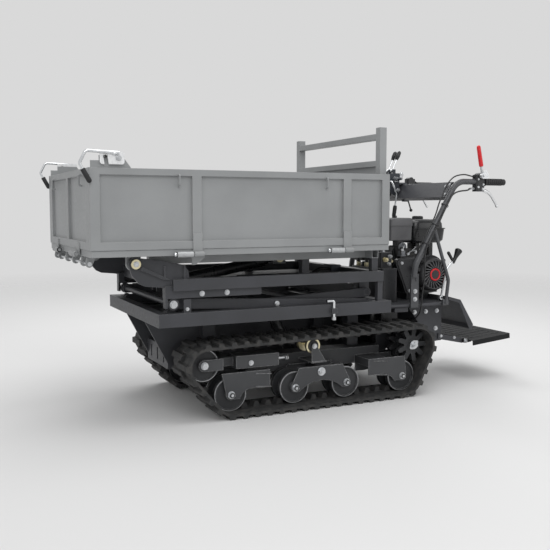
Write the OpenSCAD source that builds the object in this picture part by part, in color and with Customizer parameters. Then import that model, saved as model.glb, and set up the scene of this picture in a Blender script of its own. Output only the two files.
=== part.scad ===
// Tracked power carrier: a tipping load bed with drop sides on a scissor lift, over a rubber
// tracked undercarriage, with a petrol engine and walk-behind handlebars at the rear.
// Lengths are millimetres. X runs from the dumping end to the operator and Z is up from the ground.
// Places along X are written from the bed's front face, and each sub-part is then moved
// so that the origin lies on the ground under the middle of the machine's box.

/* [Load bed] */
// Length of the load bed
bed_l = 1400; // [1300:10:1500]
// Half of the bed's width over the drop sides
bed_half_w = 454; // [440:1:470]
// Height of the drop sides and the front gate
side_h = 327; // [260:1:400]
// Thickness of the side, gate and headboard frames
panel_t = 30; // [24:1:36]
// Height of a panel's top rail
top_rail_h = 27; // [20:1:35]
// Height of a panel's bottom rail
bottom_rail_h = 33; // [25:1:45]
// Width of a panel's upright posts
post_w = 41; // [30:1:50]
// Thickness of the panel and floor sheets
sheet_t = 3; // [2:0.5:5]
// Depth of a panel's sheet behind its outer face
sheet_inset = 12; // [8:1:16]
// Height of the bed's floor above the ground
floor_z = 757; // [750:1:780]
// Height of the tubes in the ring under the floor
ring_h = 24; // [20:1:30]
// Width of the tubes in the ring under the floor
ring_w = 40; // [30:1:50]
// Height of the headboard above the floor
head_h = 546; // [480:1:600]
// Side of the headboard's square posts
head_post = 36; // [30:1:42]
// Height of the open strip near the headboard's top
window_h = 98; // [60:1:140]
// Drop from the headboard's post tops to its top rail
head_rail_drop = 28; // [10:1:40]
// Running gap between neighbouring panels
panel_gap = 1; // [0.5:0.5:3]

/* [Hinges and latches] */
// Radius of the drop side and gate hinge barrels
barrel_r = 12; // [10:0.5:15]
// Radius of the drop side and gate hinge pins
hinge_pin_r = 7; // [5:0.5:8]
// Length of the fixed hinge barrels
barrel_l = 70; // [50:1:90]
// Distance of a hinge axis outside its panel's face
hinge_out = 14; // [13:0.5:20]
// Depth of a hinge axis below the floor
hinge_drop = 21; // [16:1:26]
// Thickness of the hinge straps
strap_t = 5; // [4:0.5:8]
// Height of the hinge straps above the floor
strap_up = 63; // [40:1:90]
// Height of the gate's hinge straps above the floor
gate_strap_up = 26; // [20:1:60]
// Radial clearance of pins in their bores
pin_clear = 0.06; // [0.03:0.01:0.1]
// Distance of the latch pivot from the bed's front
latch_x = 116; // [100:1:130]
// Height of the latch pivot above the panels
latch_up = 38; // [30:1:50]
// Radius of the bent latch handle
latch_rod_r = 6; // [5:0.5:8]

/* [Tipping] */
// Distance of the tipping pivot from the bed's front
tip_x = 195; // [180:1:220]
// Height of the tipping pivot
tip_z = 697; // [690:1:700]
// Radius of the tipping pivot pins
tip_pin_r = 14; // [10:1:18]
// Distance of the tipping ram's foot from the bed's front
tip_foot_x = 450; // [449:1:460]
// Height of the tipping ram's foot
tip_foot_z = 575; // [570:1:580]
// Distance of the tipping ram's eye from the bed's front
tip_eye_x = 1033; // [1010:1:1050]
// Height of the tipping ram's eye
tip_eye_z = 678; // [670:1:684]
// Outer radius of the ram barrels
ram_r = 28; // [24:1:32]
// Radius of the ram rods
ram_rod_r = 14; // [10:1:18]

/* [Lift] */
// Front end of the lift frame
lift_x0 = 349; // [340:1:360]
// Rear end of the lift frame
lift_x1 = 1393; // [1385:1:1400]
// Underside of the lift frame's rails
lift_z = 580; // [575:1:590]
// Height of the lift frame's rails
lift_h = 49; // [40:1:52]
// Width of the lift and base frames' rails
rail_w = 50; // [40:1:50]
// Half of the width over the lift and base frames
frame_half_w = 421; // [419:1:424]
// Length of a scissor arm between its pivots
arm_l = 1000; // [980:1:1005]
// Distance of the scissor's rear pivots from the bed's front
scissor_x = 1355; // [1350:1:1360]
// Height of the scissor's lower pivots
scissor_low_z = 471; // [468:1:473]
// Height of the scissor's upper pivots
scissor_high_z = 521; // [520:1:524]
// Depth of a scissor arm
arm_d = 44; // [36:1:46]
// Thickness of a scissor arm
arm_t = 20; // [14:1:22]
// Radius of the scissor rollers
scissor_roller_r = 25; // [24:0.5:25]
// Radius of the scissor's pivot pins and tie tubes
scissor_pin_r = 14; // [10:1:15]
// Distance of the lift ram's tie tube from the rear pivot, along the arm
lift_eye_a = 375; // [370:1:380]
// Depth of the lift ram's tie tube below the arm's middle
lift_eye_drop = 55; // [52:1:58]
// Distance of the lift ram's foot in front of the rear pivot
lift_foot_ahead = 220; // [215:1:225]
// Height of the lift ram's foot
lift_foot_z = 151; // [145:1:160]

/* [Frames] */
// Front end of the base frame
base_x0 = 284; // [275:1:295]
// Rear end of the base frame
base_x1 = 1439; // [1430:1:1450]
// Underside of the base frame
base_z = 427; // [420:1:430]
// Height of the base frame's rails
base_h = 58; // [54:1:58]
// Width of the base frame's end rails
base_end_w = 43; // [36:1:44]
// Half of the width over the chassis rails, inside the tracks
chassis_half_w = 200; // [190:1:204]
// Width of the chassis rails
chassis_rail_w = 50; // [40:1:60]
// Underside of the chassis rails
chassis_z = 160; // [150:1:170]
// Height of the chassis rails
chassis_h = 80; // [70:1:84]

/* [Tracks] */
// Distance of a track's outer edge from the middle
track_half_w = 430; // [425:1:440]
// Width of a track belt
belt_w = 220; // [210:1:224]
// Thickness of a track belt
belt_t = 11; // [10:0.5:12]
// Height of the tread lugs
lug_h = 14; // [10:0.5:15]
// Spacing of the tread lugs along the belt
lug_pitch = 60; // [56:1:66]
// Width of a tread lug's root
lug_root = 28; // [22:1:29]
// Width of a tread lug's top
lug_top = 19; // [12:1:20]
// Height of the guide horns inside the belt
horn_h = 25; // [18:1:25]
// Width of the guide horns across the belt
horn_w = 44; // [36:1:48]
// Gap between the belt and the wheels that turn in it
run_gap = 1.5; // [1.2:0.1:2.5]
// Radius of the end rollers
roller_r = 76; // [70:0.5:76.5]
// Extra gap under the bogie rollers for the bogie's rock
bogie_gap = 4; // [4:0.5:6]
// Radius of the front idler wheel
idler_r = 71; // [66:0.5:74]
// Radius over the drive sprocket's fingers
sprocket_r = 84; // [80:0.5:88]
// Number of fingers on the drive sprocket
sprocket_fingers = 9; // [7:1:11]
// Radius of the carrier roller's flanges
carrier_r = 36; // [30:0.5:38]
// Distance of the front roller from the bed's front
front_roller_x = 622; // [610:1:635]
// Distance of the rear roller from the bed's front
rear_roller_x = 1534; // [1520:1:1540]
// Distance of the bogie pivot from the bed's front
bogie_x = 1078; // [1065:1:1090]
// Distance between a bogie's two rollers
bogie_base = 274; // [262:1:284]
// Height of the bogie pivot
bogie_z = 166; // [164:1:170]
// Distance of the idler from the bed's front
idler_x = 497; // [485:1:505]
// Height of the idler's axle
idler_z = 243; // [238:1:248]
// Distance of the sprocket from the bed's front
sprocket_x = 1600; // [1590:1:1610]
// Height of the sprocket's axle
sprocket_z = 251; // [246:1:256]
// Distance of the carrier roller from the bed's front
carrier_x = 1042; // [1020:1:1060]
// Thickness of the wheel discs
disc_t = 25; // [18:1:28]
// Radius of the wheel axles
axle_r = 12; // [9:0.5:14]
// Thickness of the bogie and roller plates
bogie_plate_t = 6; // [5:0.5:8]

/* [Operator end] */
// Front end of the engine deck
deck_x0 = 1443; // [1441:1:1460]
// Rear end of the engine deck
deck_x1 = 1895; // [1885:1:1900]
// Top of the engine deck
deck_z = 441; // [436:1:446]
// Half of the engine deck's width
deck_half_w = 288; // [280:1:292]
// Thickness of the bent sheet parts
plate_t = 5; // [4:0.5:8]
// Distance of the handlebar's foot from the bed's front
bar_x0 = 1657; // [1650:1:1665]
// Distance of each handlebar tube from the middle
bar_y = 302; // [300:1:310]
// Radius of the handlebar tubes
bar_r = 15; // [11:0.5:16]
// Height of the bend at the handlebar's foot
bar_knee_z = 638; // [620:1:650]
// Height of the hand grips
grip_z = 1064; // [1040:1:1090]
// Distance of the upper bend from the bed's front
bar_bend_x = 1914; // [1905:1:1925]
// Rear end of the hand grips
grip_x1 = 2229; // [2215:1:2245]
// Length of the hand grips
grip_l = 138; // [125:1:140]
// Outer radius of the hand grips
grip_r = 18; // [16.5:0.5:20]
// Distance of the crankshaft from the bed's front
crank_x = 1866; // [1858:1:1872]
// Height of the crankshaft
crank_z = 577; // [572:1:582]
// Radius of the recoil starter's cover
recoil_r = 88; // [80:1:94]
// Number of cooling slots in the recoil cover
recoil_slots = 24; // [16:1:30]
// Front edge of the folding footplate
foot_x0 = 2062; // [2060:1:2070]
// Rear edge of the folding footplate
foot_x1 = 2338; // [2320:1:2350]
// Height of the folding footplate's hinge
foot_z = 212; // [205:1:216]
// Half of the footplate's width
foot_half_w = 262; // [240:1:268]

/* [Hidden] */
$fn = 48;
eps = 0.02;
bend_lap = 0.8;
bend_swell = 0.25;

// Reach of the machine along X, and the middle that becomes the origin
latch_front_x = -40;
x_mid = (latch_front_x - latch_rod_r + foot_x1) / 2;

// Levels and edges that several sub-parts share
panel_z = floor_z + panel_gap / 2;
panel_top_z = panel_z + side_h;
hinge_z = floor_z - hinge_drop;
ring_z = floor_z - sheet_t - ring_h;
ring_half_w = bed_half_w - 4;
floor_x0 = 4;
gate_half_w = bed_half_w - panel_t - panel_gap;
frame_in_y = frame_half_w - rail_w;
ledge_t = 7;
side_posts = [0, 424, 1150, bed_l - post_w];
gate_posts = [-gate_half_w, -post_w / 2, gate_half_w - post_w];
gate_hinge_y = gate_half_w / 2;
long_beam_y = 300;
long_beam_z = 690;
seat_gap = 0.3;
rest_x = 1339;
rest_w = 36;
rest_half_w = 402;

// Scissor: outer arms from the low rear pivots, inner arms from the high ones
outer_arm_y = frame_in_y - 6 - arm_t;
inner_arm_y = outer_arm_y - 10 - arm_t;
arm_rise = asin((scissor_high_z - scissor_low_z) / arm_l);
scissor_front_x = scissor_x - arm_l * cos(arm_rise);
lift_foot_x = scissor_x - lift_foot_ahead;
lift_eye_x = scissor_x - lift_eye_a * cos(arm_rise) - lift_eye_drop * sin(arm_rise);
lift_eye_z = scissor_low_z + lift_eye_a * sin(arm_rise) - lift_eye_drop * cos(arm_rise);
lift_ram_l = norm([lift_eye_x - lift_foot_x, lift_eye_z - lift_foot_z]);
lift_ram_turn = atan2(lift_eye_x - lift_foot_x, lift_eye_z - lift_foot_z);
lift_stroke = 178;
lift_eye_clear = 4;
tip_ram_l = norm([tip_eye_x - tip_foot_x, tip_eye_z - tip_foot_z]);
tip_ram_turn = atan2(tip_eye_x - tip_foot_x, tip_eye_z - tip_foot_z);
tip_stroke = 190;
ram_eye_r = 30;
ram_eye_t = 34;
ram_foot_t = 2 * ram_r + 2;
ram_lug_y = ram_r + 2;
ram_pin_r = 12;

// Tracks: the wheels that the belt wraps, as places and inside radii of the belt
track_y = track_half_w - belt_w / 2;
belt_low_z = belt_t + lug_h;
roller_z = belt_low_z + run_gap + roller_r;
disc_in = horn_w / 2 + 6;
disc_out = disc_in + disc_t;
plate_in = disc_out + 5;
wraps = [[front_roller_x, roller_z, roller_r + run_gap], [rear_roller_x, roller_z, roller_r + run_gap],
    [sprocket_x, sprocket_z, sprocket_r + run_gap], [idler_x, idler_z, idler_r + run_gap]];
wrap_n = len(wraps);
function wrap(i) = wraps[(i + wrap_n) % wrap_n];
function gap_of(i) = norm([wrap(i + 1)[0] - wrap(i)[0], wrap(i + 1)[1] - wrap(i)[1]]);
function leave(i) = atan2(wrap(i + 1)[1] - wrap(i)[1], wrap(i + 1)[0] - wrap(i)[0])
    - acos((wrap(i)[2] - wrap(i + 1)[2]) / gap_of(i));
function sweep(i) = (leave(i) - leave(i - 1) + 720) % 360;
function stretch(k) = k % 2 == 0 ? wrap(k / 2)[2] * sweep(k / 2) * PI / 180
    : sqrt(pow(gap_of((k - 1) / 2), 2) - pow(wrap((k - 1) / 2)[2] - wrap((k + 1) / 2)[2], 2));
stretches = [for (k = [0 : 2 * wrap_n - 1]) stretch(k)];
function total(v, i = 0) = i >= len(v) ? 0 : v[i] + total(v, i + 1);
loop_l = total(stretches);
lug_n = round(loop_l / lug_pitch);
pitch = loop_l / lug_n;
function along(s, k = 0) = s <= stretches[k] || k == 2 * wrap_n - 1 ? [k, s] : along(s - stretches[k], k + 1);
function place_on(q, off) = let (i = floor(q[0] / 2), w = wrap(i), r = w[2] + off)
    q[0] % 2 == 0 ? let (a = leave(i - 1) + q[1] / w[2] * 180 / PI) [w[0] + r * cos(a), w[1] + r * sin(a)]
    : let (a = leave(i)) [w[0] + r * cos(a) - q[1] * sin(a), w[1] + r * sin(a) + q[1] * cos(a)];
function wrapped(s) = s < 0 ? s + loop_l : s >= loop_l ? s - loop_l : s;
function belt_at(s, off) = place_on(along(wrapped(s)), off);
function bends(s) = along(wrapped(s))[0] % 2 == 0;
function near_bend(s) = bends(s) || bends(s - pitch / 4) || bends(s + pitch / 4);
top_run_z = idler_z + idler_r + run_gap
    + (sprocket_z + sprocket_r - idler_z - idler_r) * (carrier_x - idler_x) / (sprocket_x - idler_x);
carrier_z = top_run_z - run_gap - 1 - carrier_r;
carrier_axle_r = 7;
bogie_roller_r = roller_r + run_gap - bogie_gap;

// Operator end
bar_low_x = bar_x0 + 7;
bar_bend_r = 90;
bar_slope = atan2(bar_bend_x - bar_low_x, grip_z - bar_knee_z);
function bar_point(z) = bar_low_x + (z - bar_knee_z) * tan(bar_slope);
panel_low_z = grip_z - 82;
panel_l = 92;
perch_x0 = grip_x1 - grip_l - 62;
perch_x1 = grip_x1 - grip_l - 4;
perch_x = (perch_x0 + perch_x1) / 2;
brake_x = perch_x1 - 17;
brake_z = grip_z - 38;
clutch_z = grip_z + 30;
lever_pin_r = 4;
clutch_pin_r = 5;
gear_x = crank_x + 4;
gear_y = -deck_half_w + 38;
gear_z = deck_z + 18;
throttle_x = bar_point(panel_low_z + 12) + 30;
throttle_y = 108;
throttle_z = panel_low_z + 4;
recoil_y = -200;
valve_x = bar_point(grip_z - 20) - 52;
valve_y = 205;
shelf_z = panel_low_z + panel_l * cos(bar_slope) + 2 * sin(bar_slope) + seat_gap;
valve_pivot_z = grip_z + 74;
valve_pin_r = 4;
port_z = grip_z - 12;
case_top_z = deck_z + 202;
tank_top_z = deck_z + 176;
guard_t = 3;
guard_knee_x = 1972;
guard_knee_z = 446;
guard_low_x = 2058;
guard_low_z = 309;

// Helpers: boxes between limits, round bars along each axis, plates standing in the XZ plane
module box(x0, x1, y0, y1, z0, z1) {
    translate([x0, y0, z0]) cube([x1 - x0, y1 - y0, z1 - z0]);
}
module bar_along_y(x, z, y0, y1, r) {
    translate([x, y0, z]) rotate([-90, 0, 0]) cylinder(h = y1 - y0, r = r);
}
module bar_along_x(x0, x1, y, z, r) {
    translate([x0, y, z]) rotate([0, 90, 0]) cylinder(h = x1 - x0, r = r);
}
module bar_along_z(x, y, z0, z1, r) {
    translate([x, y, z0]) cylinder(h = z1 - z0, r = r);
}
module upright(y0, y1) {
    translate([0, y1, 0]) rotate([90, 0, 0]) linear_extrude(y1 - y0) children();
}
module both_sides() {
    children();
    mirror([0, 1, 0]) children();
}
module placed() {
    translate([-x_mid, 0, 0]) children();
}
module on_left() placed() translate([0, track_y, 0]) children();
module on_right() placed() mirror([0, 1, 0]) translate([0, track_y, 0]) children();
module round_slab(w, d, h, r) {
    linear_extrude(h) {
        translate([-w / 2 + r, -d / 2]) square([w - 2 * r, d]);
        translate([-w / 2, -d / 2 + r]) square([w, d - 2 * r]);
        for (sx = [-1, 1], sy = [-1, 1]) translate([sx * (w / 2 - r), sy * (d / 2 - r)]) circle(r);
    }
}
// A straight round bar from one point to another
module link(a, b, r) {
    v = b - a;
    l = norm(v);
    translate(a) rotate([0, acos(v[2] / l), atan2(v[1], v[0])]) cylinder(h = l, r = r);
}
// A straight round bar with a domed end
module domed_bar(a, b, r) {
    v = b - a;
    l = norm(v);
    translate(a) rotate([0, acos(v[2] / l), atan2(v[1], v[0])]) rotate_extrude() {
        square([r, l]);
        translate([0, l]) intersection() {
            circle(r);
            square(r);
        }
    }
}
// A bent round bar through several points, its bends slightly swollen where the straights lap into them
function heading(p, i) = unit(p[i + 1] - p[i]);
function turn_at(p, i) = acos(heading(p, i - 1) * heading(p, i));
function cut_at(p, i, bend) = i == 0 || i == len(p) - 1 ? 0 : bend * tan(turn_at(p, i) / 2);
module bent_bar(p, r, bend) {
    for (i = [0 : len(p) - 2])
        link(p[i] + heading(p, i) * max(cut_at(p, i, bend) - bend_lap, 0),
            p[i + 1] - heading(p, i) * max(cut_at(p, i + 1, bend) - bend_lap, 0), r);
    for (i = [1 : len(p) - 2]) {
        d = heading(p, i - 1);
        n = unit(cross(d, heading(p, i)));
        x = cross(d, n);
        c = p[i] - d * cut_at(p, i, bend) - x * bend;
        multmatrix([[x[0], d[0], n[0], c[0]], [x[1], d[1], n[1], c[1]], [x[2], d[2], n[2], c[2]],
            [0, 0, 0, 1]])
            rotate_extrude(angle = turn_at(p, i)) translate([bend, 0]) circle(r + bend_swell);
    }
}
// A hose: one tube swept along points, its rings square to the path
function unit(v) = v / norm(v);
function path_dir(p, i) = unit(p[min(i + 1, len(p) - 1)] - p[max(i - 1, 0)]);
function side_of(d) = unit(cross(d, abs(d[2]) < 0.9 ? [0, 0, 1] : [1, 0, 0]));
function curve(p, n) = let (m = len(p) - 1) [for (i = [0 : m - 1], k = [0 : n - 1]) let (t = k / n,
    a = p[max(i - 1, 0)], b = p[i], c = p[i + 1], d = p[min(i + 2, m)])
    (2 * b + (c - a) * t + (2 * a - 5 * b + 4 * c - d) * t * t + (3 * b - a - 3 * c + d) * t * t * t) / 2,
    p[m]];
module hose(points, r, sides = 8, steps = 3) {
    path = curve(points, steps);
    n = len(path);
    function d_at(i) = i == 0 ? unit(points[1] - points[0])
        : i == n - 1 ? unit(points[last] - points[last - 1]) : path_dir(path, i);
    last = len(points) - 1;
    rings = [for (i = [0 : n - 1]) let (u = side_of(d_at(i)), w = cross(d_at(i), u))
        for (k = [0 : sides - 1]) path[i] + r * (u * cos(k * 360 / sides) + w * sin(k * 360 / sides))];
    walls = [for (i = [0 : n - 2], k = [0 : sides - 1]) let (a = i * sides, e = (k + 1) % sides)
        each [[a + k, a + sides + k, a + sides + e], [a + k, a + sides + e, a + e]]];
    ends = [[for (k = [0 : sides - 1]) k], [for (k = [sides - 1 : -1 : 0]) (n - 1) * sides + k]];
    polyhedron(rings, concat(walls, ends));
}

// Welded chassis between the tracks, with posts up to the base frame and a nose plate in front
module chassis_frame() color("#3a3a3c") placed() {
    rail_in = chassis_half_w - chassis_rail_w;
    rail_x0 = 470;
    rail_x1 = 1560;
    top = chassis_z + chassis_h;
    post_l = 60;
    cross_x = [rail_x0, 640, lift_foot_x + 36, 1440];
    nose_x = 404;
    nose_t = 8;
    nose_half_w = rail_in + 8;
    nose_low_z = chassis_z + 34;
    nose_h = 98;
    both_sides() {
        difference() {
            box(rail_x0, rail_x1, rail_in, chassis_half_w, chassis_z, top);
            bar_along_y(sprocket_x, sprocket_z, rail_in - 1, chassis_half_w + 1, axle_r + 8);
        }
        for (x = [560, 1330]) box(x, x + post_l, rail_in, chassis_half_w, top, base_z);
        upright(rail_in, rail_in + 8)
            polygon([[nose_x + 4, nose_low_z + 20], [rail_x0, nose_low_z + 20], [rail_x0 + 90, top - 10],
                [rail_x0 + 90, base_z], [base_x0 + 12, base_z]]);
        upright(chassis_half_w - 3, chassis_half_w)
            difference() {
                polygon([[1500, chassis_z + 40], [1915, 223], [1915, deck_z - 16], [1706, deck_z - 16],
                    [1706, 402], [1764, 330], [1500, 330]]);
                translate([sprocket_x, sprocket_z]) circle(axle_r + 8);
            }
    }
    for (x = cross_x) box(x, x + 60, -rail_in, rail_in, chassis_z + 10, top - 10);
    difference() {
        box(nose_x, rail_x0, -nose_half_w, nose_half_w, nose_low_z, nose_low_z + nose_h);
        box(nose_x + nose_t, rail_x0 + 1, nose_t - nose_half_w, nose_half_w - nose_t,
            nose_low_z + nose_t, nose_low_z + nose_h - nose_t);
        for (y = [-95, 0, 95])
            box(nose_x - 1, nose_x + nose_t + 1, y - 9, y + 9, nose_low_z + 20, nose_low_z + nose_h - 20);
    }
    both_sides() upright(ram_lug_y, ram_lug_y + 10) {
        translate([lift_foot_x, lift_foot_z]) circle(ram_eye_r);
        polygon([[lift_foot_x, lift_foot_z - 28], [lift_foot_x + 44, chassis_z + 12],
            [lift_foot_x + 44, top - 12], [lift_foot_x, lift_foot_z + 29]]);
    }
    bar_along_y(lift_foot_x, lift_foot_z, -ram_lug_y - 16, ram_lug_y + 16, ram_pin_r);
}

// Base frame: a ring of rails that carries the scissor, with roller ledges inside
module base_frame() color("#3c3c3e") placed() {
    top = base_z + base_h;
    difference() {
        box(base_x0, base_x1, -frame_half_w, frame_half_w, base_z, top);
        box(base_x0 + base_end_w, base_x1 - base_end_w, -frame_in_y, frame_in_y, base_z - 1, top + 1);
    }
    ledge_z = scissor_low_z - scissor_roller_r - 0.5;
    box(base_x0 + 4, 560, -frame_in_y - 4, frame_in_y + 4, base_z, base_z + 4);
    both_sides() {
        box(base_x0 + base_end_w, 660, inner_arm_y + arm_t + 1, frame_in_y, ledge_z - ledge_t, ledge_z);
        bar_along_y(scissor_x, scissor_low_z, outer_arm_y + 2, frame_in_y, scissor_pin_r);
        bar_along_y(scissor_x, scissor_low_z, outer_arm_y + arm_t + 0.5, frame_in_y, scissor_pin_r + 8);
        box(1368, 1394, frame_half_w - 34, frame_half_w - 8, top, lift_z - seat_gap);
        box(398, 430, frame_half_w - 20, frame_half_w - 14, top, top + 56);
        box(398, 430, frame_half_w - 40, frame_half_w - 14, top, top + 5);
    }
    // Locking pin for transport, on the near rail
    bar_along_z(1118, -frame_half_w - 7, base_z - 12, top + 16, 6);
    box(1104, 1132, -frame_half_w - 16, -frame_half_w, base_z + 14, base_z + 40);
    bar_along_x(1080, 1118, -frame_half_w - 7, top + 16, 6);
    translate([1118, -frame_half_w - 7, top + 16]) sphere(6);
}

// Deck under the engine: sheet with round edge tubes and cross bars
module engine_deck() color("#424244") placed() {
    tube_r = 9;
    edge_y = deck_half_w - tube_r;
    box(deck_x0, deck_x1, -edge_y, edge_y, deck_z - plate_t, deck_z);
    both_sides() {
        bar_along_x(deck_x0, deck_x1, edge_y, deck_z - tube_r, tube_r);
        box(deck_x0, deck_x1, chassis_half_w - 40, chassis_half_w, deck_z - 16, deck_z - plate_t);
        box(1560, 1640, edge_y - 46, edge_y, deck_z - 40, deck_z - plate_t);
    }
    for (x = [deck_x0, deck_x1 - 40]) box(x, x + 40, -edge_y, edge_y, deck_z - 16, deck_z - plate_t);
    // Bracket and pin of the gear lever
    box(gear_x - 12, gear_x + 12, gear_y + 7, gear_y + 12, deck_z - plate_t, gear_z + 10);
    bar_along_y(gear_x, gear_z, gear_y - 9, gear_y + 8, clutch_pin_r);
}

// Bent sheet behind the engine, down to the footplate's hinge
module rear_guard() color("#38383a") placed() {
    t = guard_t;
    half = deck_half_w - 6;
    upright(-half, half)
        polygon([[deck_x1, deck_z - 14], [deck_x1 + t, deck_z - 14], [deck_x1 + t, deck_z + 22],
            [guard_knee_x, guard_knee_z - t], [guard_low_x, guard_low_z], [guard_low_x - 7, guard_low_z - 24],
            [guard_low_x - 4, guard_low_z - 25], [guard_low_x + t, guard_low_z + 1],
            [guard_knee_x + 2, guard_knee_z], [deck_x1, deck_z + 26]]);
    both_sides() upright(half - t, half)
        polygon([[deck_x1, deck_z + 10], [guard_knee_x - 6, guard_knee_z - 16],
            [guard_low_x - 20, guard_low_z - 24], [guard_low_x - 6, guard_low_z - 24],
            [guard_low_x + 1, guard_low_z], [guard_knee_x + 1, guard_knee_z - 1], [deck_x1, deck_z + 25]]);
    // Arms from the chassis to the footplate's hinge
    both_sides() {
        upright(chassis_half_w, chassis_half_w + 8)
            polygon([[1890, 232], [1890, 262], [foot_x0 - 16, foot_z + 13], [foot_x0 + 10, foot_z + 13],
                [foot_x0 + 10, foot_z - 13], [foot_x0 - 16, foot_z - 13]]);
        bar_along_y(foot_x0, foot_z, chassis_half_w + 5, chassis_half_w + 24, 7);
    }
}

// Plates, axles and tensioners inside both track loops
module track_frames() color("#4a4a4c") placed() both_sides() translate([0, track_y, 0]) {
    beam_out = -belt_w / 2 + 45;
    beam_in = chassis_half_w - track_y;
    top = chassis_z + chassis_h;
    plate_out = plate_in + bogie_plate_t;
    arch_r = 62;
    box(600, 1480, beam_in, beam_out, chassis_z, top);
    // Front and rear roller brackets: an outer and an inner plate on a box from the beam
    both_sides() {
        upright(plate_in, plate_out) {
            for (x = [front_roller_x, rear_roller_x]) translate([x, roller_z]) circle(24);
            difference() {
                translate([front_roller_x, roller_z]) polygon([[-45, 98], [190, 98], [190, 18], [100, 18],
                    [100, -22], [8, -22], [-24, 4]]);
                translate([front_roller_x + 100, roller_z - 42]) circle(arch_r);
            }
            difference() {
                translate([rear_roller_x, roller_z]) polygon([[16, 98], [-195, 98], [-195, 18], [-118, 18],
                    [-118, -22], [-8, -22], [24, 4]]);
                translate([rear_roller_x - 118, roller_z - 65]) circle(arch_r + 23);
            }
        }
        for (x = [front_roller_x, rear_roller_x])
            bar_along_y(x, roller_z, disc_out + 0.5, plate_in, axle_r + 7);
    }
    for (x = [front_roller_x, rear_roller_x])
        bar_along_y(x, roller_z, -plate_out - 4, plate_out + 14, axle_r);
    box(front_roller_x + 84, front_roller_x + 190, beam_out, plate_out, roller_z + 74, roller_z + 98);
    box(rear_roller_x - 195, rear_roller_x - 84, beam_out, plate_out, roller_z + 60, roller_z + 98);
    // Bogie pivot from the beam
    bar_along_y(bogie_x, bogie_z, beam_out, plate_out + 12, axle_r);
    bar_along_y(bogie_x, bogie_z, -plate_in + 0.5, plate_in - 0.5, axle_r + 8);
    box(bogie_x - 26, bogie_x + 26, beam_in, beam_out, chassis_z - 24, chassis_z);
    // Carrier roller's arm and upright
    arm_z = roller_z + 106;
    box(carrier_x - 16, carrier_x + 64, beam_out, disc_out + 12, arm_z, arm_z + 6);
    upright(disc_out + 4, disc_out + 9) {
        polygon([[carrier_x - 14, arm_z + 5], [carrier_x + 60, arm_z + 5], [carrier_x + 14, carrier_z],
            [carrier_x - 14, carrier_z]]);
        translate([carrier_x, carrier_z]) circle(14);
    }
    bar_along_y(carrier_x, carrier_z, -disc_out - 4, disc_out + 16, carrier_axle_r);
    bar_along_y(carrier_x, carrier_z, disc_out - 3.5, disc_out + 4, carrier_axle_r + 5);
    // Tensioner: tube on the front bracket, sliding bar, idler fork and adjusting bolt
    tube_x = front_roller_x + 28;
    tube_h = 58;
    tube_y = 26;
    box(tube_x, tube_x + 210, -tube_y, plate_in - 2, idler_z - tube_h / 2, idler_z + tube_h / 2);
    box(tube_x + 60, tube_x + 150, beam_out, -tube_y, idler_z - 24, idler_z - 4);
    box(tube_x + 70, tube_x + 162, -tube_y, tube_y, roller_z + 98, idler_z - tube_h / 2);
    box(idler_x + 88, tube_x, -20, 20, idler_z - 20, idler_z + 20);
    fork_end = idler_x + 76;
    box(fork_end, idler_x + 88, -plate_in, plate_in, idler_z - 26, idler_z + 26);
    both_sides() {
        upright(plate_in, plate_out) {
            translate([idler_x, idler_z]) circle(26);
            translate([idler_x, idler_z - 26]) square([88, 52]);
        }
        bar_along_y(idler_x, idler_z, disc_out + 0.5, plate_in, axle_r + 7);
    }
    bar_along_y(idler_x, idler_z, -plate_out - 4, plate_out + 12, axle_r);
    bar_along_x(tube_x + 210, tube_x + 262, plate_in - 26, idler_z, 7);
    bar_along_x(tube_x + 250, tube_x + 262, plate_in - 26, idler_z, 12);
}

// A rubber track: three slices across, with staggered lugs outside and guide horns inside
function lug_row(shift) = [for (k = [0 : lug_n - 1]) let (s = (k + shift) * pitch) each concat(
    [for (c = [[-lug_root, 0], [-lug_top, lug_h], [lug_top, lug_h], [lug_root, 0]])
        belt_at(s + c[0] / 2, belt_t + c[1])],
    [for (q = [1, 2, 3]) if (near_bend(s + q * pitch / 4)) belt_at(s + q * pitch / 4, belt_t)])];
function lug_double() = [for (k = [0 : 2 * lug_n - 1]) let (s = k * pitch / 2) each
    [for (c = [[-lug_root, 0], [-lug_top, lug_h], [lug_top, lug_h], [lug_root, 0]])
        belt_at(s + c[0] / 2, belt_t + c[1])]];
function plain_row() = [for (k = [0 : 4 * lug_n - 1]) let (s = k * pitch / 4) if (near_bend(s))
    belt_at(s, 0)];
function horn_row() = [for (k = [0 : lug_n - 1]) let (s = (k + 0.5) * pitch) each concat(
    [for (c = [[-34, 0], [-18, -horn_h], [18, -horn_h], [34, 0]]) belt_at(s + c[0] / 2, c[1])],
    [if (near_bend(s + pitch / 2)) belt_at(s + pitch / 2, 0)])];
module belt_slice(y0, y1, outer, inner) {
    upright(y0, y1) polygon(concat(outer, inner), [[for (i = [0 : len(outer) - 1]) i],
        [for (i = [0 : len(inner) - 1]) len(outer) + i]]);
}
module belt() color("#2e2e30") {
    belt_slice(horn_w / 2, belt_w / 2, lug_row(0), plain_row());
    belt_slice(-horn_w / 2, horn_w / 2, lug_double(), horn_row());
    belt_slice(-belt_w / 2, -horn_w / 2, lug_row(0.5), plain_row());
}
module track_left() on_left() belt();
module track_right() on_right() belt();

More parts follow.
